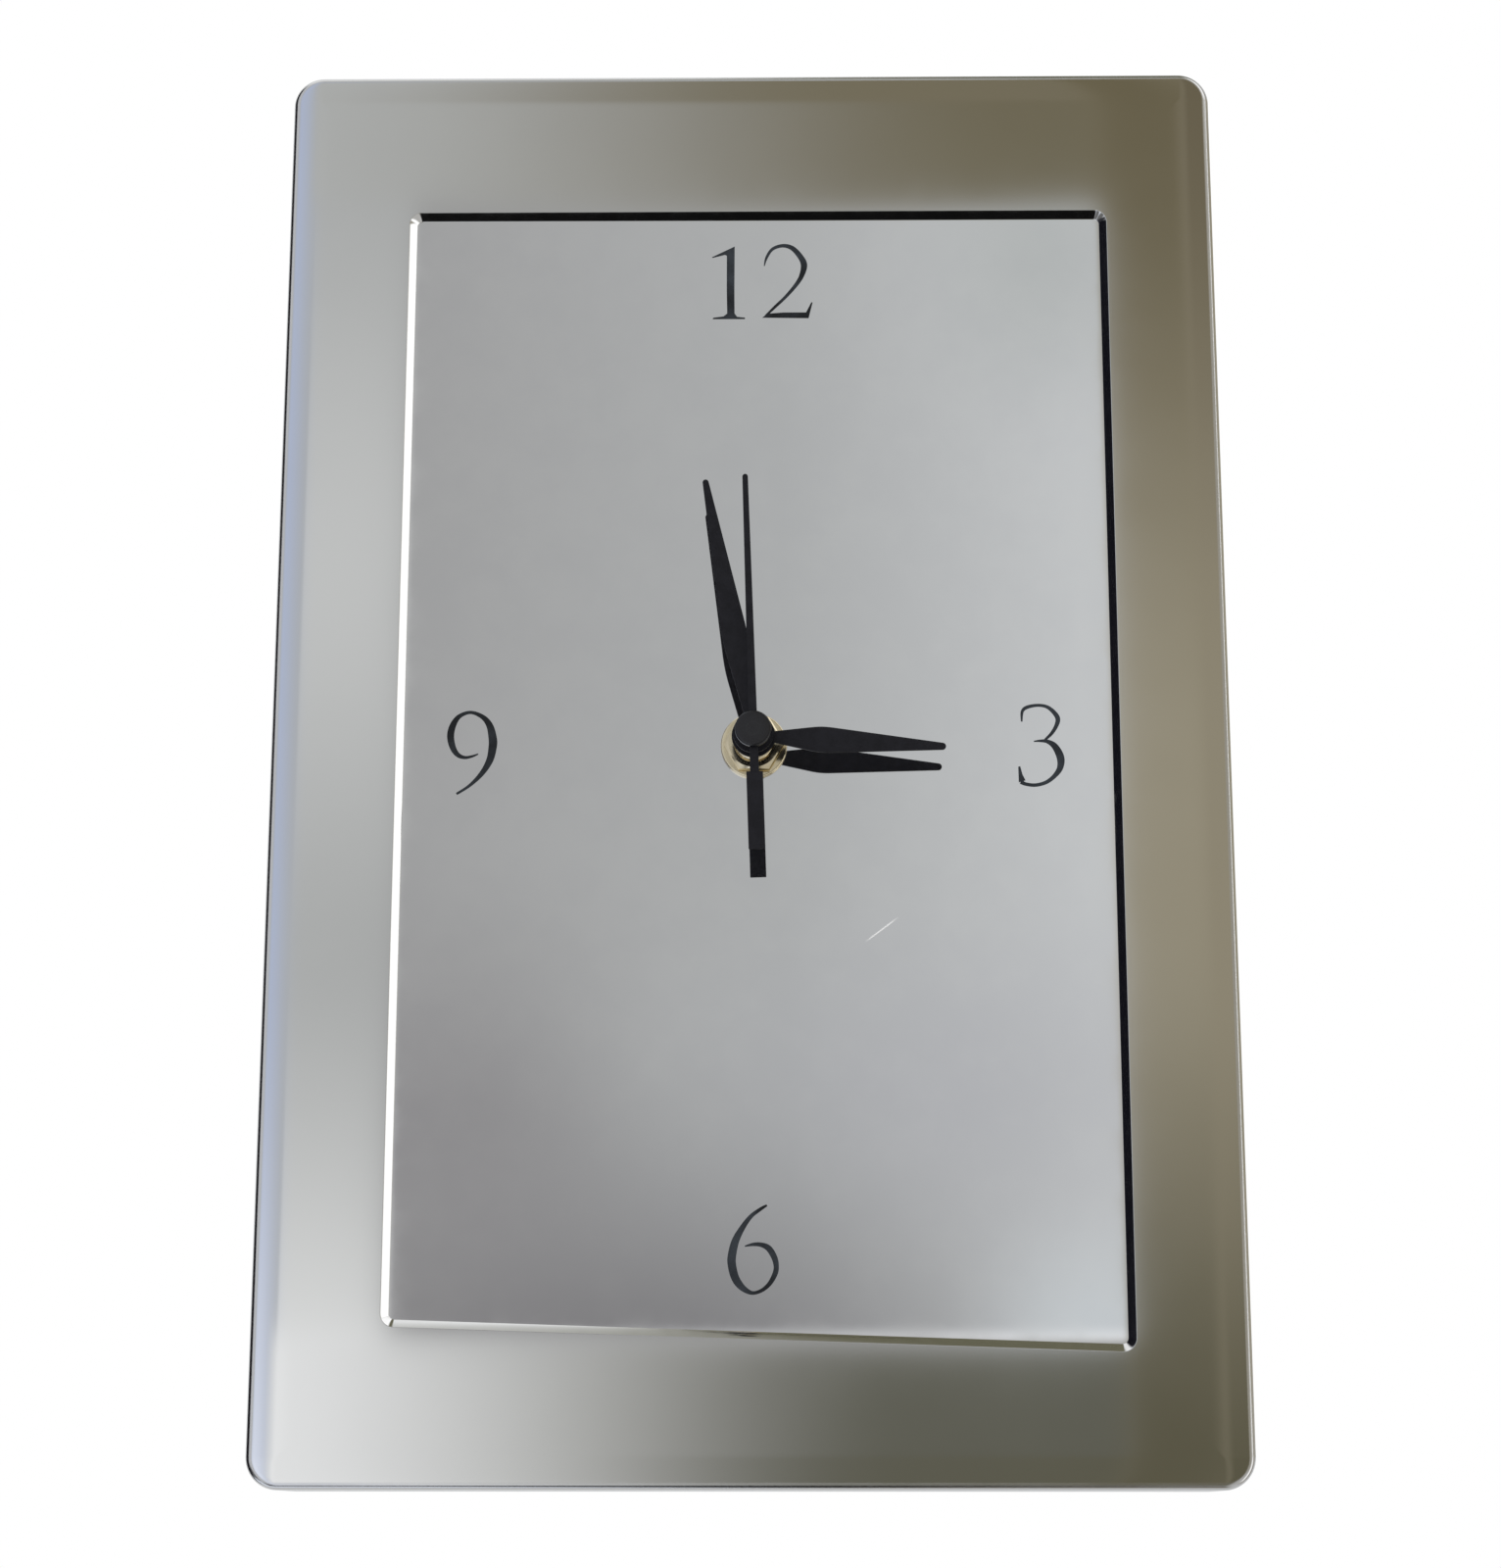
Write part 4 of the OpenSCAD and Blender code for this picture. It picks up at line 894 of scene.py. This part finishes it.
@dataclass
class LeafHand:
    """An hour or minute hand: a leaf blade on a round eye."""

    name: str
    body: str
    at: float
    level: float
    eye: float
    bore: float
    belly: float
    length: float
    wide: float
    tip: float
    thick: float = 0.5
    root_at: float = 0.86
    root_wide: float = 0.42
    proud: float = 0.01
    soft: float = 0.09

    def build(self, recipe: Recipe) -> None:
        """Make the hand in place of its CAD node.

        Args:
            recipe: the tree that makes the blade.
        """
        blade = recipe.mesh(
            FINISH.hand, Root=self.eye * self.root_at, Belly=self.belly, Length=self.length,
            Root_width=self.wide * self.root_wide, Belly_width=self.wide, Tip_width=self.tip,
            Thickness=self.thick)
        base = self.level - self.thick / 2
        low, high = base - self.proud, base + self.thick + self.proud
        draft = Draft()
        turn = Matrix.Rotation(math.radians(-self.at), 4, "Z")
        draft.absorb(blade, Matrix.Translation((0, 0, base)) @ turn)
        draft.turned([(self.bore, low), (self.eye, low), (self.eye, high), (self.bore, high)])
        draft.below(base + self.proud, 1)
        hand = draft.piece(f"{self.name}_blade", [FINISH.hand, FINISH.under])
        soften(hand, self.soft)
        settle(hand, self.body, FINISH.hand, self.name)


def soften(piece: bpy.types.Object, width: float) -> None:
    """Round a piece's sharp edges a little.

    Args:
        piece: the piece.
        width: width of the rounding in mm.
    """
    bevel = piece.modifiers.new("soft_edges", "BEVEL")
    bevel.width, bevel.segments = width * MM, 2
    bevel.limit_method, bevel.angle_limit = "ANGLE", math.radians(40)
    bevel.use_clamp_overlap = True


@dataclass
class SecondHand:
    """The thin second hand with its counterweight and cap."""

    at: float = 358.2
    level: float = 39.4
    length: float = 54.8
    neck: float = 8.8
    tail: float = 24.9
    tail_half: float = 1.7
    thick: float = 0.5
    neck_half: float = 0.92
    half: float = 0.88
    tip: float = 0.58
    eye: float = 2.0
    eye_edge: float = 1.3
    lap: float = 0.2
    proud: float = 0.01
    soft: float = 0.09
    cap: float = 3.75
    cap_thick: float = 1.1
    cap_round: float = 0.45
    hub: float = 1.3
    hub_down: float = 1.1
    socket: float = 0.85
    arbor: float = 0.45
    arbor_up: float = 0.5

    def build(self) -> None:
        """Make the hand and its cap in place of their CAD nodes."""
        low, high = self.level - self.thick / 2, self.level + self.thick / 2
        self.blade(low, high)
        self.turn_cap(low, high)

    def blade(self, low: float, high: float) -> None:
        """Make the hand: counterweight, neck and pointer on a round eye.

        Args:
            low, high: its two faces.
        """
        tail, neck, half, n, eye = self.tail_half, self.neck_half, self.half, self.neck, self.eye_edge
        tip = arc((0.0, self.length - self.tip), self.tip, 0, 180, 8)
        weight = [(-tail, -self.tail), (tail, -self.tail), (tail, -n), (neck, -n), (-neck, -n), (-tail, -n)]
        stem = [(-neck, -n - self.lap), (neck, -n - self.lap), (half, -eye), (-half, -eye)]
        pointer = [(-half, eye), (half, eye), *tip]
        turn = math.radians(-self.at)
        c, s = math.cos(turn), math.sin(turn)
        draft = Draft()
        for part in (weight, stem, pointer):
            draft.slab([(x * c - y * s, x * s + y * c) for x, y in part], low, high)
        under, over = low - self.proud, high + self.proud
        draft.turned([(self.socket, under), (self.eye, under), (self.eye, over), (self.socket, over)])
        draft.below(low + 2 * self.proud, 1)
        hand = draft.piece("second_hand_blade", [FINISH.hand, FINISH.under])
        soften(hand, self.soft)
        settle(hand, "second_body", FINISH.hand, "second_hand")

    def turn_cap(self, low: float, high: float) -> None:
        """Make the cap, which holds the hand on its arbor.

        Args:
            low, high: the faces of the hand.
        """
        foot, top = self.level - self.hub_down, high + self.cap_thick
        dome = arc((self.cap - self.cap_round, top - self.cap_round), self.cap_round, 0, 90, 7)
        cap = Draft()
        end = high + self.arbor_up
        cap.turned([(self.arbor, foot), (self.hub - 0.15, foot), (self.hub, foot + 0.15), (self.hub, low),
                    (self.socket, low), (self.socket, high), (self.cap - 0.1, high), (self.cap, high + 0.1),
                    *dome, (1.2, top), (0.3, top), (POLE, top), (POLE, end), (self.arbor, end)], steps=96)
        settle(cap.piece("second_cap_turned", [FINISH.hub]), "second_body", FINISH.hub, "second_cap")


@dataclass
class CentreFittings:
    """The brass washer and the hubs of the hands, all on the hand axis."""

    dial: float = 25.0
    washer: float = 13.8
    washer_thick: float = 1.0
    washer_round: float = 0.3
    washer_bore: float = 4.2
    hour_level: float = 34.0
    minute_level: float = 36.6
    hand_half: float = 0.25

    def build(self) -> None:
        """Make the turned pieces in place of their CAD nodes."""
        z, r, t, e, bore = self.dial, self.washer / 2, self.washer_thick, self.washer_round, self.washer_bore
        rim = arc((r - e, z + t - e), e, 0, 90, 6)
        washer = Draft()
        washer.turned([(bore, z), (r - 0.35, z), (r, z + 0.35), *rim, (bore + 0.1, z + t),
                       (bore, z + t - 0.1)], steps=96)
        settle(washer.piece("washer_turned", [FINISH.brass]), "clock", FINISH.brass, "brass_washer")
        for name, profile in self.hubs().items():
            hub = Draft()
            hub.turned(profile)
            body = "hour_body" if name == "hour_hub" else "minute_body"
            finish = FINISH.brass if name == "minute_nut" else FINISH.hub
            settle(hub.piece(f"{name}_turned", [finish]), body, finish, name)

    def hubs(self) -> dict[str, list[Pair]]:
        """Profiles of the two hubs and the nut on the minute pipe.

        Returns:
            The (radius, height) points of each, by CAD node.
        """
        h, m, half = self.hour_level, self.minute_level, self.hand_half
        top = m + half
        return {
            "hour_hub": [(2.5, h - 2.4), (3.25, h - 2.4), (3.4, h - 2.25), (3.4, h - half), (3.0, h - half),
                         (3.0, h + half), (2.5, h + half)],
            "minute_hub": [(1.6, m - 1.7), (2.85, m - 1.7), (3.0, m - 1.55), (3.0, m - half), (2.2, m - half),
                           (2.2, top), (1.6, top)],
            "minute_nut": [(1.6, top), (2.9, top), (2.9, top + 0.85), (2.75, top + 1.0), (1.6, top + 1.0)]}


@dataclass(frozen=True)
class Rows:
    """Where equal pieces stand: the middle of a grid, how far apart its outer lines are, and its counts."""

    middle: Pair
    across: float
    up: float
    columns: int
    rows: int


@dataclass
class Fasteners:
    """What holds the clock together: studs with washers and nuts, rivets, and the brass bush with its nut."""

    rows: Recipe
    helix: Recipe
    studs: Rows = Rows(middle=(0.8, 0.0), across=161.7, up=210.0, columns=2, rows=3)
    rivets: Rows = Rows(middle=(-0.8, 146.65), across=24.0, up=1.0, columns=2, rows=1)
    thread_wire: float = 0.42
    stud: Pair = (17.0, 25.2)
    nut: Pair = (17.8, 20.2)
    nut_flats: float = 5.5
    nut_bore: float = 1.5
    washer: Pair = (20.2, 20.8)
    rivet_neck: float = 2.4
    rivet_head: Pair = (2.6, 0.9)
    bush: Pair = (20.0, 30.0)
    brass_nut: Pair = (26.0, 28.5)
    brass_flats: float = 11.0
    brass_bore: float = 4.02

    def repeat(self, name: str, draft: Draft, at: Rows, node: str) -> None:
        """Stand zinc copies of a draft in rows, in place of a CAD node.

        Args:
            name: name of the piece.
            draft: one of them, drawn on the hand axis.
            at: where they stand.
            node: the CAD node it stands for.
        """
        one = draft.master()
        many = self.rows.mesh(FINISH.zinc, Piece=one, Across=at.across, Up=at.up, Columns=at.columns,
                              Rows=at.rows)
        bpy.data.objects.remove(one)
        out = Draft()
        out.absorb(many, Matrix.Translation((*at.middle, 0.0)))
        settle(out.piece(name, [FINISH.zinc], crease=25.0), "clock", FINISH.zinc, node)

    def threaded(self, draft: Draft, radius: float, span: Pair, pitch: float, steps: int,
                 finish: Finish) -> None:
        """Wind a rounded thread onto a draft.

        Args:
            draft: what it goes on, with a core a little thinner than the thread.
            radius: outer radius of the thread.
            span: where the thread starts and ends.
            pitch: rise of one turn.
            steps: points in one turn.
            finish: its finish.
        """
        wire, rise = pitch * self.thread_wire, span[1] - span[0]
        thread = self.helix.mesh(finish, Radius=radius - wire, Height=rise, Turns=rise / pitch, Wire=wire,
                                 Steps=steps, Sides=8)
        draft.absorb(thread, Matrix.Translation((0.0, 0.0, span[0])))

    def build(self) -> None:
        """Make all of them in place of their CAD nodes."""
        low, high = self.stud
        stud = Draft()
        stud.turned([(POLE, low), (0.95, low), (1.25, low + 0.3), (1.25, high - 3.0), (1.5, high - 2.75),
                     (1.5, high), (POLE, high)], steps=24, closed=False)
        self.threaded(stud, radius=1.48, span=(low + 0.35, high - 3.4), pitch=0.5, steps=14,
                      finish=FINISH.zinc)
        self.repeat("studs_threaded", stud, self.studs, "frame_studs")
        nut = Draft()
        nut.hexed(self.nut_flats, self.nut_bore, *self.nut, steps=48)
        self.repeat("stud_nuts_hex", nut, self.studs, "stud_nuts")
        low, high = self.washer
        washer = Draft()
        washer.turned([(1.6, low), (3.35, low), (3.5, low + 0.15), (3.5, high - 0.02), (3.45, high),
                       (1.6, high)], steps=48)
        self.repeat("stud_washers_turned", washer, self.studs, "stud_washers")
        (wide, tall), neck = self.rivet_head, self.rivet_neck
        dome = [(wide * x, neck + tall * y) for x, y in arc((0.0, 0.0), 1.0, 0, 90, 7)[:-1]]
        rivet = Draft()
        rivet.turned([(POLE, 0.0), (1.5, 0.0), (1.5, neck), *dome, (POLE, neck + tall)],
                     steps=32, closed=False)
        self.repeat("rivets_domed", rivet, self.rivets, "hanger_rivets")
        self.brass()

    def brass(self) -> None:
        """Make the threaded bush and the hexagon nut on it."""
        low, high = self.bush
        bush = Draft()
        bush.turned([(2.55, low), (5.2, low), (5.2, low + 0.8), (3.45, low + 0.8), (3.45, high - 0.35),
                     (3.3, high), (2.75, high), (2.55, high - 0.2)], steps=64)
        self.threaded(bush, radius=3.98, span=(low + 1.1, high - 0.3), pitch=0.75, steps=40,
                      finish=FINISH.brass)
        settle(bush.piece("bush_threaded", [FINISH.brass]), "clock", FINISH.brass, "threaded_bush")
        nut = Draft()
        nut.hexed(self.brass_flats, self.brass_bore, *self.brass_nut, steps=96)
        settle(nut.piece("brass_nut_hex", [FINISH.brass], crease=20.0), "clock", FINISH.brass, "hex_nut")


@dataclass
class Movement:
    """Pieces of the movement that are more than their CAD form: cell, winding and the moulded case."""

    helix: Recipe
    cell_at: tuple[float, float, float] = (-23.9, -19.385, 11.645)
    cell_round: float = 7.1
    coil_at: tuple[float, float, float] = (-6.2, 23.25, 13.3)
    coil_long: float = 14.4
    coil_round: Pair = (2.1, 3.0)
    wire: float = 0.15

    def build(self) -> None:
        """Make them in place of their CAD nodes."""
        self.cell()
        self.winding()
        for node, finish, width in (("rear_cover", FINISH.case, 0.25), ("front_case", FINISH.case, 0.25),
                                    ("setting_knob", FINISH.case, 0.2), ("hanger_plate", FINISH.zinc, 0.2)):
            rounded(node, finish, width)

    def cell(self) -> None:
        """Make the cell: a wrapped can with bare steel ends."""
        r = self.cell_round
        profile = [(POLE, 0.0), (4.6, 0.0), (4.9, 0.25), (6.0, 0.25), (6.2, 0.05), (6.7, 0.1), (r, 0.6),
                   (r, 48.4), (6.8, 48.95), (6.3, 49.1), (6.1, 48.8), (3.6, 48.8), (3.2, 49.1), (2.7, 49.25),
                   (2.7, 50.0), (2.4, 50.3), (POLE, 50.3)]
        steel = {0, 1, 2, 3, 10, 11, 12, 13, 14, 15}
        marks = [1 if k in steel else 0 for k in range(len(profile))]
        draft = Draft()
        draft.turned(profile, steps=96, marks=marks, closed=False)
        draft.moved(Matrix.Translation(self.cell_at) @ Matrix.Rotation(math.pi / 2, 4, "Y"))
        settle(draft.piece("cell_wrapped", [FINISH.wrap, FINISH.zinc]), "clock", FINISH.wrap, "cell")

    def winding(self) -> None:
        """Wind the coil: an inner layer as a tube, and the outer layer as one long wire."""
        (inner, outer), length = self.coil_round, self.coil_long
        core, run = outer - self.wire, length - 2 * self.wire
        draft = Draft()
        draft.turned([(inner, 0.0), (core, 0.0), (core, length), (inner, length)], steps=48)
        wire = self.helix.mesh(FINISH.copper, Radius=core, Height=run, Turns=run / (2 * self.wire),
                               Wire=self.wire, Steps=24, Sides=6)
        draft.absorb(wire, Matrix.Translation((0.0, 0.0, self.wire)))
        draft.moved(Matrix.Translation(self.coil_at) @ Matrix.Rotation(math.pi / 2, 4, "Y"))
        coil = draft.piece("coil_wound", [FINISH.copper], crease=50.0)
        settle(coil, "clock", FINISH.copper, "coil_winding")


def rounded(node: str, finish: Finish, width: float) -> None:
    """Stand a copy of a CAD node with softened edges in its place.

    Args:
        node: the CAD node.
        finish: its finish.
        width: width of the softened edges in mm.
    """
    source = frame["nodes"][node]
    mesh = source.data.copy()
    mesh.transform(source.matrix_world)
    work = bmesh.new()
    work.from_mesh(mesh)
    bmesh.ops.remove_doubles(work, verts=work.verts, dist=1e-6)
    bmesh.ops.dissolve_limit(work, angle_limit=math.radians(1.0), verts=work.verts, edges=work.edges)
    bmesh.ops.recalc_face_normals(work, faces=work.faces)
    mesh.clear_geometry()
    work.to_mesh(mesh)
    work.free()
    mesh.materials.clear()
    mesh.materials.append(finish.material())
    piece = smoothed(f"{node}_rounded", mesh)
    soften(piece, width)
    body = "setting_body" if node == "setting_knob" else "clock"
    settle(piece, body, finish, node)


@dataclass(frozen=True)
class Card:
    """A soft-edged panel of light or shade in the room, in degrees to the right of the dial and above it."""

    left: float
    right: float
    low: float
    high: float
    colour: RGB
    soft: Pair = (2.0, 2.0)
    share: float = 1.0

    def over(self, wires: Wiring, room: Socket, turn: Socket, height: Socket) -> Socket:
        """Lay the card over the room.

        Args:
            wires: the world's tree.
            room: the colour of the room so far.
            turn, height: the direction, in degrees.

        Returns:
            The colour with the card in front.
        """
        (a, b), share = self.soft, self.share
        inside = wires.maths("MULTIPLY", wires.spread(turn, self.left - a, self.left + a, 0.0, share),
                             wires.spread(turn, self.right - a, self.right + a, 1.0, 0.0))
        level = wires.maths("MULTIPLY", wires.spread(height, self.low - b, self.low + b, 0.0, 1.0),
                            wires.spread(height, self.high - b, self.high + b, 1.0, 0.0))
        return wires.blend(wires.maths("MULTIPLY", inside, level), room, self.colour)


@dataclass
class Studio:
    """Camera, floor, lamps, and the room that the polished metal mirrors."""

    camera_at: tuple[float, float, float] = (6.57, -157.41, 659.19)
    pitch: float = 13.252
    yaw: float = 0.658
    roll: float = 0.031
    lens: float = 72.0
    sensor: float = 36.0
    floor_drop: float = 0.26
    floor_half: float = 4.0
    sky: RGB = (0.82, 0.82, 0.82)
    backdrop: RGB = (1.0, 1.0, 1.0)
    hung: tuple = (("key", (-0.9, -1.1, 0.9), 1.2, 9.0), ("back", (0.8, 1.2, 0.6), 1.2, 7.0))
    sides: tuple = (
        (-180, (.72, .73, .74)), (-122, (.72, .73, .74)), (-112, (.006, .006, .009)),
        (-68, (.006, .006, .009)), (-61, (.58, .59, .61)), (-30, (.56, .57, .59)),
        (-8.6, (.36, .36, .36)), (0, (.44, .45, .45)),
        (6.1, (.58, .595, .60)), (30, (.35, .33, .28)), (62, (.33, .31, .26)), (104, (.34, .32, .28)),
        (116, (.62, .62, .63)), (180, (.72, .73, .74)))
    cards: tuple[Card, ...] = (
        # seen in the dial
        Card(-9.0, 2.5, -60.0, 5.0, (.17, .165, .17), (5.0, 4.5)),
        Card(3.5, 6.4, 21.0, 24.5, (.46, .48, .475), (2.0, 2.0)),
        Card(-10.0, -4.0, 4.5, 9.5, (.275, .27, .275), (2.0, 3.0), 0.8),
        Card(0.0, 6.4, 6.0, 9.5, (.44, .445, .47), (4.0, 2.5), 0.6),
        Card(4.6, 6.4, -60.0, 4.6, (.61, .655, .68), (2.0, 1.5)),
        # seen in the left border
        Card(-30.0, -7.2, -60.0, 50.0, (.485, .495, .495), (0.12, 6.0)),
        Card(-11.0, -7.2, 13.0, 21.0, (.69, .70, .70), (0.12, 4.0), 0.8),
        Card(-11.0, -7.2, -60.0, 5.0, (.98, .99, .99), (0.12, 6.0)),
        Card(-22.0, -13.0, -60.0, 50.0, (.50, .56, .72), (4.5, 6.0)),
        Card(-22.0, -13.0, -60.0, 4.0, (.84, .89, 1.02), (4.5, 6.0)),
        # seen in the top and bottom borders
        Card(-12.0, 12.0, 23.62, 38.0, (.51, .52, .515), (2.0, 0.15)),
        Card(-3.0, 18.0, 23.62, 38.0, (.19, .168, .11), (7.5, 0.15)),
        Card(-3.2, 18.0, 26.6, 38.0, (.21, .185, .125), (7.5, 0.6)),
        Card(-12.0, 12.0, -60.0, 3.25, (.95, .96, .97), (2.0, 0.25)),
        Card(-4.2, 17.0, -60.0, 3.15, (.137, .136, .108), (6.5, 0.15)),
        Card(1.5, 17.0, -60.0, 0.0, (.13, .125, .09), (6.0, 0.6)),
        # seen in the right border
        Card(6.15, 13.0, -60.0, 50.0, (.358, .323, .238), (0.12, 6.0)),
        Card(6.15, 13.0, 19.2, 50.0, (.165, .141, .085), (0.12, 6.0)),
        Card(6.15, 13.0, -60.0, 6.2, (.125, .115, .075), (0.12, 5.0)),
        Card(9.3, 25.0, -60.0, 50.0, (.33, .295, .215), (2.0, 6.0)),
        Card(9.3, 25.0, 20.2, 50.0, (.165, .14, .09), (2.0, 6.0)),
        Card(9.3, 25.0, -60.0, 4.9, (.125, .115, .075), (2.0, 5.0)),
        Card(20.0, 60.0, -60.0, -16.0, (.46, .455, .44), (6.0, 6.0)),
        # seen in the lip and the rounded edges
        Card(68.5, 78.0, 0.0, 28.0, (1.25, 1.25, 1.25), (1.5, 3.0)),
        Card(80.0, 180.0, 0.0, 28.0, (.34, .31, .23), (1.5, 3.0)),
        Card(-200.0, 200.0, 57.0, 100.0, (.84, .85, .85), (0.1, 9.0)),
        Card(-12.0, 200.0, 57.0, 100.0, (.14, .135, .09), (35.0, 9.0)),
        Card(40.0, 80.0, 28.0, 71.0, (1.1, 1.1, 1.1), (8.0, 4.0)),
        Card(-200.0, 200.0, -100.0, -52.0, (.55, .55, .55), (0.1, 6.0)),
        Card(-17.0, 17.0, -100.0, -50.0, (.005, .005, .005), (8.0, 3.0)),
        Card(17.0, 57.0, -100.0, -64.0, (.11, .09, .045), (2.0, 4.0)),
        Card(58.0, 80.0, -46.0, 0.0, (1.2, 1.2, 1.2), (3.0, 5.0)),
        Card(-100.0, -19.0, -100.0, -36.0, (.72, .76, .84), (2.0, 5.0)),
        Card(-48.0, -19.0, -62.0, -40.0, (.14, .14, .14), (3.0, 3.0)),
        Card(-66.0, -46.0, -40.0, -14.0, (.14, .14, .14), (3.0, 3.0)),
        Card(-76.0, -61.0, -22.0, 3.0, (.03, .03, .035), (2.0, 4.0)))

    def room(self) -> None:
        """Light the scene: white for the camera, an even grey sky for matt pieces, a room for mirrors."""
        world = bpy.data.worlds.new("studio")
        bpy.context.scene.world = world
        world.use_nodes = True
        wires = Wiring(world.node_tree)
        degrees = 180 / math.pi
        way = wires.add("ShaderNodeTexCoord").outputs["Generated"]
        x, y, z = wires.add("ShaderNodeSeparateXYZ", {0: way}).outputs
        turn = wires.maths("MULTIPLY", wires.maths("ARCTAN2", x, wires.maths("MULTIPLY", y, -1.0)), degrees)
        height = wires.maths("MULTIPLY", wires.maths("ARCSINE", z), degrees)
        share = wires.maths("MULTIPLY_ADD", turn, 1 / 360, 0.5)
        level = wires.ramp(share, tuple((0.5 + a / 360, c) for a, c in self.sides))
        for card in self.cards:
            level = card.over(wires, level, turn, height)
        path = wires.add("ShaderNodeLightPath").outputs
        lit = wires.blend(path["Is Glossy Ray"], self.sky, level)
        seen = wires.blend(path["Is Camera Ray"], lit, self.backdrop)
        wires.add("ShaderNodeOutputWorld", {0: wires.out("ShaderNodeBackground", {0: seen, 1: 1.0})})

    def camera(self) -> None:
        """Stand the camera where the photograph was taken."""
        data = bpy.data.cameras.new("camera")
        data.lens, data.sensor_width, data.clip_start = self.lens, self.sensor, 0.01
        camera = linked("camera", data)
        aim = UPRIGHT @ Matrix.Rotation(math.radians(self.yaw), 4, "Y")
        aim = aim @ Matrix.Rotation(math.radians(self.pitch), 4, "X")
        aim = aim @ Matrix.Rotation(math.radians(self.roll), 4, "Z")
        camera.matrix_world = Matrix.Translation(BENCH @ Vector(self.camera_at)) @ aim
        bpy.context.scene.camera = camera

    def lamps(self) -> None:
        """Hang two broad soft lamps, which polished metal doesn't mirror."""
        middle = Vector((0.0, 0.0, AXIS.z))
        for name, at, size, power in self.hung:
            data = bpy.data.lights.new(name, "AREA")
            data.size, data.energy = size, power
            lamp = linked(name, data)
            lamp.location = middle + Vector(at)
            lamp.rotation_euler = (-Vector(at)).to_track_quat("-Z", "Y").to_euler()
            lamp.visible_glossy = False

    def floor(self) -> None:
        """Lay a pale floor below the clock."""
        level, far = cad_box[0].z - self.floor_drop, self.floor_half
        corners = [(-far, -far, level), (far, -far, level), (far, far, level), (-far, far, level)]
        mesh = bpy.data.meshes.new("floor")
        mesh.from_pydata(corners, [], [(0, 1, 2, 3)])
        mesh.materials.append(FINISH.floor.material())
        floor = linked("floor", mesh)
        floor.visible_glossy = False

    def build(self) -> None:
        """Set up everything that isn't the clock."""
        bpy.context.scene.view_settings.view_transform = "Standard"
        self.camera()
        self.room()
        self.lamps()
        self.floor()


def dress_kept_nodes() -> None:
    """Give every CAD node that keeps its shape its finish."""
    groups = {
        FINISH.dial: ("dial_plate",), FINISH.board: ("backing_board",),
        FINISH.zinc: ("plus_contact", "minus_contact", "crystal_can"),
        FINISH.rubber: ("rubber_gasket",), FINISH.iron: ("stator", "coil_core"),
        FINISH.bobbin: ("coil_bobbin",), FINISH.laminate: ("circuit_board",), FINISH.resin: ("driver_chip",),
        FINISH.gear: ("rotor", "fifth_wheel", "third_wheel", "centre_wheel", "second_wheel", "minute_pipe",
                      "motion_wheel", "hour_wheel")}
    for finish, nodes in groups.items():
        for node in nodes:
            dress(node, finish)


def main() -> None:
    """Build the clock piece by piece."""
    logging.basicConfig(level=logging.INFO, format="%(message)s")
    Studio().build()
    FrameShell().build()
    Numerals().build()
    leaf = leaf_recipe()
    LeafHand("hour_hand", "hour_body", at=93.4, level=34.0, eye=4.5, bore=3.0, belly=14.0, length=39.6,
             wide=5.4, tip=1.3).build(leaf)
    LeafHand("minute_hand", "minute_body", at=349.5, level=36.6, eye=4.2, bore=2.2, belly=20.5, length=55.4,
             wide=5.2, tip=1.2).build(leaf)
    SecondHand().build()
    CentreFittings().build()
    helix = helix_recipe()
    Fasteners(rows_recipe(), helix).build()
    Movement(helix).build()
    dress_kept_nodes()


if __name__ == "__main__":
    main()
